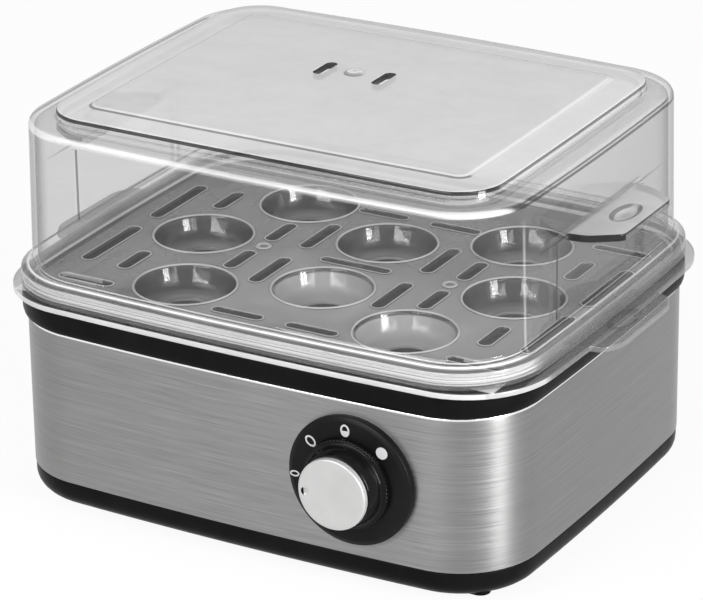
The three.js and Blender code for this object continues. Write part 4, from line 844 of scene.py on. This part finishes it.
def makeBushing():
    bm = bmesh.new()
    b = bushing
    wall = wallAt(b["x"])
    face = wall + b["gap"] + b["lean"]
    inside = wall - b["sheet"] - b["gap"] - b["lean"]
    back, front = inside - b["inner"], face + b["height"]
    turned = rounded([
        (b["bore"], back + 0.4, 0), (b["bore"], back, 0.3), (b["collar"], back, 0.3), (b["collar"], inside, 0.2),
        (b["neck"], inside, 0.1), (b["neck"], face, 0.1), (b["collar"], face, 0.25),
        (b["collar"] - 0.3, face + 1.4, 0.5), (b["collar"] - 1.6, front, 0.7), (b["bore"], front, 0.5),
        (b["bore"], face + 1, 0),
    ], steps=3)
    spun(bm, turned + turned[:1], sides=48)
    turnBy(bm, bm.verts, -quarter)
    moveBy(bm, bm.verts, b["x"], 0, b["z"])
    keep(bm, "cordBushing", "rubberBlack", "housing", "cord_bushing")


makeBushing()
print("feet and bushing made")


# A hand tab: a plate with blunt corners and rounded edges, with an oval finger dish in its top
tabs = {"reach": 130.6, "outerHalf": 20.5, "rootHalf": 30, "kneeIn": 1.2, "corner": 2.4, "dishX": 121,
        "dishLength": 21, "dishWidth": 10, "dishDepth": 1.2, "edge": 0.5}


def tabLoop(bm, side, rootX, kneeBack, inset, height):
    t = tabs
    root, knee, reach = rootX + inset, t["reach"] - kneeBack - inset * 0.2, t["reach"] - inset
    rootHalf, kneeHalf, outerHalf = (t["rootHalf"] - inset, t["rootHalf"] - t["kneeIn"] - inset,
                                     t["outerHalf"] - inset * 0.6)
    plan = rounded([(root, -rootHalf, 0), (knee, -kneeHalf, t["corner"]), (reach, -outerHalf, t["corner"]),
                    (reach, outerHalf, t["corner"]), (knee, kneeHalf, t["corner"]), (root, rootHalf, 0)], steps=5)
    return planLoop(bm, [(side * x, y) for x, y in plan], height)


def makeTab(bm, side, rootX, kneeBack, bottom, top):
    t = tabs
    path = rounded([(t["edge"] * 2, bottom, 0), (0, bottom, t["edge"]), (0, top, t["edge"]),
                    (t["edge"] * 2, top, 0)])
    plate = bridged(bm, [tabLoop(bm, side, rootX, kneeBack, inset, height) for inset, height in path])
    dish = bridged(bm, [
        ovalLoop(bm, side * t["dishX"], 0, t["dishWidth"] / 2 * reach, t["dishLength"] / 2 * reach,
                 top - t["dishDepth"] * depth)
        for reach, depth in ((1.1, 0), (1.03, 0.03), (0.96, 0.16), (0.8, 0.52), (0.6, 0.8), (0.35, 0.95), (0.15, 1))])
    filled(bm, dish[-1])
    filled(bm, plate[0], -1)
    filled(bm, plate[-1] + dish[0])


# The egg tray: flange, upstand, rib and deck, with wells and slots let into the deck
eggTray = {"bottom": 90.6, "top": 93, "deck": 92, "under": 90, "upstandTop": 96, "upstandInset": 0.8,
           "upstandWall": 2, "slope": 1.4, "ribInset": 17.6, "ribWall": 1.6, "ribBottom": 86,
           "tabRoot": 120.4, "tabKnee": 4, "cutBottom": 80, "cutTop": 100}
wellSpots = [(x, y) for x in (-50.5, 50.5) for y in (-49.5, 49.5)]
wellSpots += [(-72.5, 0), (72.5, 0), (0, -26.5), (0, 26.5)]
well = {"mouth": 20.2, "bead": 21.7, "beadTop": 92.9, "turn": 17.48, "turnTop": 84, "floorRadius": 10.5,
        "floorTop": 82, "floorBottom": 80.4}
# Slots as place across, place along, length, width and whether they run along Y
slots = [(sx * x, sy * y, length, 5, True) for sx, sy in quadrants
         for x, y, length in ((83, 37, 19), (45, 16.5, 19), (28.3, 20.3, 27))]
slots += [(sx * 17, y, 22, 4, False) for sx in (-1, 1) for y in (-64.5, 54)]
slots += [(0, 0, 31, 4, False)]
edgeSlots = [(sx * 89, sy * 63.3, 24, 4, False) for sx, sy in quadrants]
outerSlots = [(sx * 101, sy * 26, 39, 5, True) for sx, sy in quadrants]
dimples = [(-43.5, 0), (43.5, 0)]
slotLip = {"support": 1.5, "foot": 1.25, "crown": 0.7, "rise": 0.4, "fillet": 0.3}


def makeWell(x, y):
    bm = bmesh.new()
    w = well
    deck, under, bead = eggTray["deck"], eggTray["under"], w["bead"]
    path = rounded([
        (bead + 0.35, deck, 0), (bead + 0.02, deck, 0.1),
        ((bead + w["mouth"]) / 2 + 0.1, w["beadTop"] + 0.1, 0.6), (w["mouth"], deck, 0.5),
        (w["turn"], w["turnTop"], 3.2), (w["floorRadius"], w["floorTop"], 0.5),
        (w["floorRadius"], w["floorBottom"], 0.4), (w["turn"] + 0.8, w["turnTop"] - 1.6, 2.5),
        (bead - 0.4, under, 0.3), (bead + 0.3, under, 0),
    ], steps=5)
    bridged(bm, [circleLoop(bm, x, y, radius, height, 56) for radius, height in path])
    return bm


# The crown of a slot's lip, in offsets from the slot and heights
def slotCrown():
    s, deck = slotLip, eggTray["deck"]
    return [(s["crown"] + 0.3, deck + s["rise"] * 0.75), (s["crown"], deck + s["rise"]),
            (s["crown"] - 0.3, deck + s["rise"] * 0.85), (0.12, deck + 0.05)]


def makeSlot(slot, path, closed=False, capped=False):
    bm = bmesh.new()
    loops = bridged(bm, [slotLoop(bm, *slot, offset, height) for offset, height in path], closed)
    if capped:
        filled(bm, loops[0], -1)
        filled(bm, loops[-1])
    return bm


def makeDimple(x, y):
    bm = bmesh.new()
    deck = eggTray["deck"]
    loops = bridged(bm, [circleLoop(bm, x, y, radius, deck + rise, 32) for radius, rise in (
        (4, 0), (3.6, 0), (3.35, 0.35), (3.0, 0.65), (2.6, 0.68), (2.2, 0.45), (1.6, 0.2), (0.6, 0.12))])
    filled(bm, loops[-1])
    return bm


def makeTray():
    bm = bmesh.new()
    e = eggTray
    inner = e["upstandInset"] + e["upstandWall"]
    rib = e["ribInset"] + e["ribWall"]
    casing(bm, rounded([
        (rib, e["under"], 0), (rib, e["ribBottom"], 0.5), (e["ribInset"], e["ribBottom"], 0.5),
        (e["ribInset"], e["bottom"], 0),
    ], steps=3))
    rim = casing(bm, [(inset, height, trayPlan) for inset, height in rounded([
        (3, e["bottom"], 0), (0, e["bottom"], 0.35), (0, e["top"], 0.8), (3, e["top"], 0),
    ])])
    upstand = casing(bm, rounded([
        (e["upstandInset"], e["top"], 0), (e["upstandInset"], e["upstandTop"], 0.5),
        (inner, e["upstandTop"], 0.5), (inner, e["deck"] + e["slope"], 0.4),
        (inner + e["slope"], e["deck"], 0.9), (inner + e["slope"] + 1.2, e["deck"], 0),
    ], steps=3))
    bridged(bm, [rim[-1], upstand[0]])
    for x, y in wellSpots:
        joined(bm, makeWell(x, y))
    s, deck = slotLip, e["deck"]
    for group, low in ((slots, e["under"]), (outerSlots, e["bottom"])):
        path = [(s["support"], deck), (s["foot"], deck), *slotCrown(), (0, deck - s["fillet"]),
                (0, low + s["fillet"]), (s["fillet"], low)]
        for slot in group:
            joined(bm, makeSlot(slot, path))
    for x, y in dimples:
        joined(bm, makeDimple(x, y))
    filled(bm, openEdges(bm, e["deck"]))
    filled(bm, openEdges(bm, e["under"]), -1)
    filled(bm, openEdges(bm, e["bottom"]), -1)
    cutter = bmesh.new()
    for slot in edgeSlots:
        joined(cutter, makeSlot(slot, [(0, e["cutBottom"]), (0, e["cutTop"])], capped=True))
    bm = cutAway(bm, cutter)
    path = [(s["foot"], deck - 0.1), *slotCrown(), (0.02, deck - s["fillet"]), (0.4, deck - 0.5)]
    for slot in edgeSlots:
        joined(bm, makeSlot(slot, path, closed=True))
    for side in (-1, 1):
        makeTab(bm, side, e["tabRoot"], e["tabKnee"], e["bottom"], e["top"])
    keep(bm, "eggTray", "smokyTray", "tray", "egg_tray")


makeTray()
print("egg tray made")


# The clear lid: flared skirt, upright walls with a pocket at each end, a stepped top with two steam slots
lid = {"bottom": 93.3, "wall": 2.2, "skirt": 2, "skirtTop": 100.4, "footInset": 2.9, "footTop": 103.8,
       "headInset": 3.9, "headTop": 160, "edge": 3.2, "edgeTop": 163.2, "plateTop": 167, "panelInset": 13,
       "panelSlope": 2.4, "panelTop": 167.9, "innerTop": 164.8, "pocketX": 109.5, "pocketHalf": 36.5,
       "pocketBottom": 104.3, "levels": (112, 120, 128), "upper": 148, "wallTop": 155, "tabBottom": 135,
       "tabTop": 138, "tabKnee": 12, "tabSunk": 0.05}
steamSlots = {"x": -9.4, "spread": 13.6, "y": 17.5, "length": 15, "width": 4.6}
steamBoss = {"radius": 4.4, "top": 169.1}


def makeLid():
    bm = bmesh.new()
    c = lid
    wall, skirtTop, footTop, edgeTop, plateTop, panelTop, innerTop = map(c.get, (
        "wall", "skirtTop", "footTop", "edgeTop", "plateTop", "panelTop", "innerTop"))
    skirt, foot, shoulder = wall - c["skirt"], c["footInset"] + wall, c["headInset"] + c["edge"] + 3
    under, slope = edgeTop - wall, c["panelInset"] + c["panelSlope"]
    outerLevels = rounded([
        (skirt, c["bottom"], 0.2), (-c["skirt"], c["bottom"], 0.4), (-c["skirt"], skirtTop, 1.2),
        (-c["skirt"] + 1.2, skirtTop + 0.1, 0.5), (c["footInset"] - 1.3, skirtTop + 1.2, 1.2),
        (c["footInset"], footTop, 1.2), (c["footInset"] + 0.01, footTop + 0.3, 0),
    ])
    pocket = (c["pocketX"], c["pocketHalf"])
    innerPocket = (c["pocketX"] - wall, c["pocketHalf"] + 1.7)

    def wallInset(height):
        return c["footInset"] + (c["headInset"] - c["footInset"]) * (height - footTop) / (c["headTop"] - footTop)

    outerLevels += [(wallInset(h), h, bodyPlan, p) for h, p in (
        (c["pocketBottom"] - 0.02, None), (c["pocketBottom"] + 0.15, pocket),
        *[(level, pocket) for level in c["levels"]], (c["tabBottom"] + 0.2, pocket), (c["tabBottom"] + 0.4, None),
        (c["upper"], None))]
    outerLevels += rounded([
        (wallInset(c["wallTop"]), c["wallTop"], 0), (c["headInset"], edgeTop, c["edge"]), (shoulder, edgeTop, 0),
    ], steps=8)
    outerLevels += [(inset, height, platePlan) for inset, height in rounded([
        (-1.6, edgeTop, 0), (-0.4, edgeTop + 0.05, 0.6), (0, plateTop, 1), (2, plateTop, 0),
        (c["panelInset"] - 1, plateTop, 0), (c["panelInset"], plateTop, 0.6), (slope, panelTop, 0.6),
        (slope + 2, panelTop, 0),
    ])]
    outerLoops = casing(bm, outerLevels)
    innerLevels = [(inset, height, platePlan) for inset, height in rounded([
        (wall + 4, innerTop, 0), (wall, innerTop, 1.2), (wall - 0.5, under, 0.5), (wall - 2.5, under, 0),
    ])]
    innerLevels += rounded([
        (shoulder, under, 0), (c["headInset"] + wall, under, 1.4),
        (wallInset(c["wallTop"]) + wall, c["wallTop"], 0),
    ], steps=5)
    innerLevels += [(wallInset(h) + wall, h, bodyPlan, p) for h, p in (
        (c["upper"], None), (c["tabBottom"] + 2.4, None), (c["tabBottom"] + 2, innerPocket),
        *[(level, innerPocket) for level in reversed(c["levels"])], (footTop + 0.4, innerPocket),
        (footTop + 0.2, None))]
    innerLevels += rounded([
        (foot, footTop - 0.2, 0), (foot, skirtTop - 1.6, 1.4), (skirt, skirtTop - wall, 1.2),
        (skirt, c["bottom"], 0.2), (skirt - 0.6, c["bottom"], 0),
    ])
    innerLoops = casing(bm, innerLevels)
    bridged(bm, [innerLoops[-1], outerLoops[0]])
    tops, unders = [], []
    s = steamSlots
    for side in (-1, 1):
        x = s["x"] + side * s["spread"]
        slot = bridged(bm, [
            slotLoop(bm, x, s["y"], s["length"], s["width"], True, offset, height) for offset, height in (
                (0.9, panelTop), (0.45, panelTop), (0.15, panelTop - 0.12), (0, panelTop - 0.4),
                (0, innerTop + 0.3), (0.3, innerTop))])
        tops += slot[0]
        unders += slot[-1]
    radius, top = steamBoss["radius"], steamBoss["top"]
    boss = bridged(bm, [circleLoop(bm, s["x"], s["y"], *level, 40) for level in (
        (radius + 0.5, panelTop), (radius, panelTop), (radius - 0.3, top - 0.95), (radius - 0.9, top - 0.45),
        (radius - 1.7, top - 0.1), (radius - 2.4, top), (radius - 3, top - 0.1), (0.5, top - 0.25))])
    filled(bm, boss[-1])
    filled(bm, outerLoops[-1] + tops + boss[0])
    filled(bm, innerLoops[0] + unders, -1)
    for side in (-1, 1):
        makeTab(bm, side, c["pocketX"] + c["tabSunk"], c["tabKnee"], c["tabBottom"], c["tabTop"])
    keep(bm, "clearLid", "clearLid", "lid", "lid")


makeLid()
print("lid made")


# Finishes of the pieces that stay as the CAD has them
stayingFinishes = {
    "zincPlate": ["cutout_strap", "left_stud_nut", "right_stud_nut", "earth_stud_nut", "thermal_fuse", "bush_nut",
                  "knob_shaft", "terminal_block_screw"]
    + ["base_screw_" + cornerName for cornerName in corners]
    + [kind + side for kind in ("pan_clip_", "pan_clip_screw_") for side in ("left", "right", "front", "back")],
    "castGrey": ["heat_spreader", "heating_element"],
    "phenolicBrown": ["thermal_cutout", "control_body"],
    "ceramicCream": ["terminal_block"],
    "siliconeGrey": ["pan_gasket"],
    "wireBrown": ["live_wire", "switched_live_wire"],
    "wireBlue": ["element_wire", "cutout_wire", "neutral_wire"],
    "wireGreen": ["earth_wire"],
}
for finishName, names in stayingFinishes.items():
    for cadName in names:
        data = cadNodes[cadName].data
        data.materials.clear()
        data.materials.append(finishes[finishName])
print("inner pieces finished")


# Pale floor and studio light: rays that show the surroundings meet plain white
studio = {"world": 0.35, "floorShow": 0.92, "floorColour": 0.82, "floorSize": 6}
lamps = {
    "keyLamp": dict(azimuth=-130, elevation=46, size=(1.6, 1.4), power=15),
    "leftWindow": dict(azimuth=-98, size=(1.5, 0.7), power=31),
    "rightWindow": dict(azimuth=-20, size=(1.5, 0.7), power=20),
    "cornerStrip": dict(azimuth=-14, elevation=5, away=1.3, size=(0.35, 0.7), power=20),
}


def showsSurroundings(tree):
    path = node(tree, "LightPath")
    seen = maths(tree, "MAXIMUM", path.outputs["Is Camera Ray"], path.outputs["Is Glossy Ray"])
    return maths(tree, "MAXIMUM", seen, path.outputs["Is Transmission Ray"])


def makeWorld():
    world = bpy.data.worlds.new("studio")
    world.use_nodes = True
    tree = world.node_tree
    tree.nodes.clear()
    seen = showsSurroundings(tree)
    strength = ranged(tree, seen, studio["world"], 1, 0, 1)
    light = result(tree, "Background", {"Color": (*even(1), 1), "Strength": strength})
    node(tree, "OutputWorld", {"Surface": light})
    scene.world = world


def makeFloor():
    finish, tree = blankFinish("paleFloor")
    share = maths(tree, "MULTIPLY", showsSurroundings(tree), studio["floorShow"])
    plain = result(tree, "BsdfDiffuse", {"Color": (*even(studio["floorColour"]), 1)})
    white = result(tree, "Emission", {"Color": (*even(1), 1), "Strength": 1})
    surfaced(finish, result(tree, "MixShader", {"Fac": share, 1: plain, 2: white}))
    bm = bmesh.new()
    bmesh.ops.create_grid(bm, x_segments=2, y_segments=2, size=studio["floorSize"])
    floor = placed("paleFloor", meshOf(bm, "paleFloor"))
    floor.data.materials.append(finish)


def makeLamp(name, azimuth, size, power, elevation=26, away=2.2):
    data = bpy.data.lights.new(name, "AREA")
    data.shape = "RECTANGLE"
    data.size, data.size_y = size
    data.energy = power
    lamp = placed(name, data)
    around, up = math.radians(azimuth), math.radians(elevation)
    outward = Vector((math.cos(around) * math.cos(up), math.sin(around) * math.cos(up), math.sin(up)))
    aim = Vector((0, 0, 0.1))
    lamp.matrix_world = Matrix.Translation(aim + outward * away) @ outward.to_track_quat("Z", "Y").to_matrix().to_4x4()


makeWorld()
makeFloor()
for lampName, values in lamps.items():
    makeLamp(lampName, **values)
scene.view_settings.view_transform = "Standard"
scene.cycles.transparent_max_bounces = 40
print("studio lit")
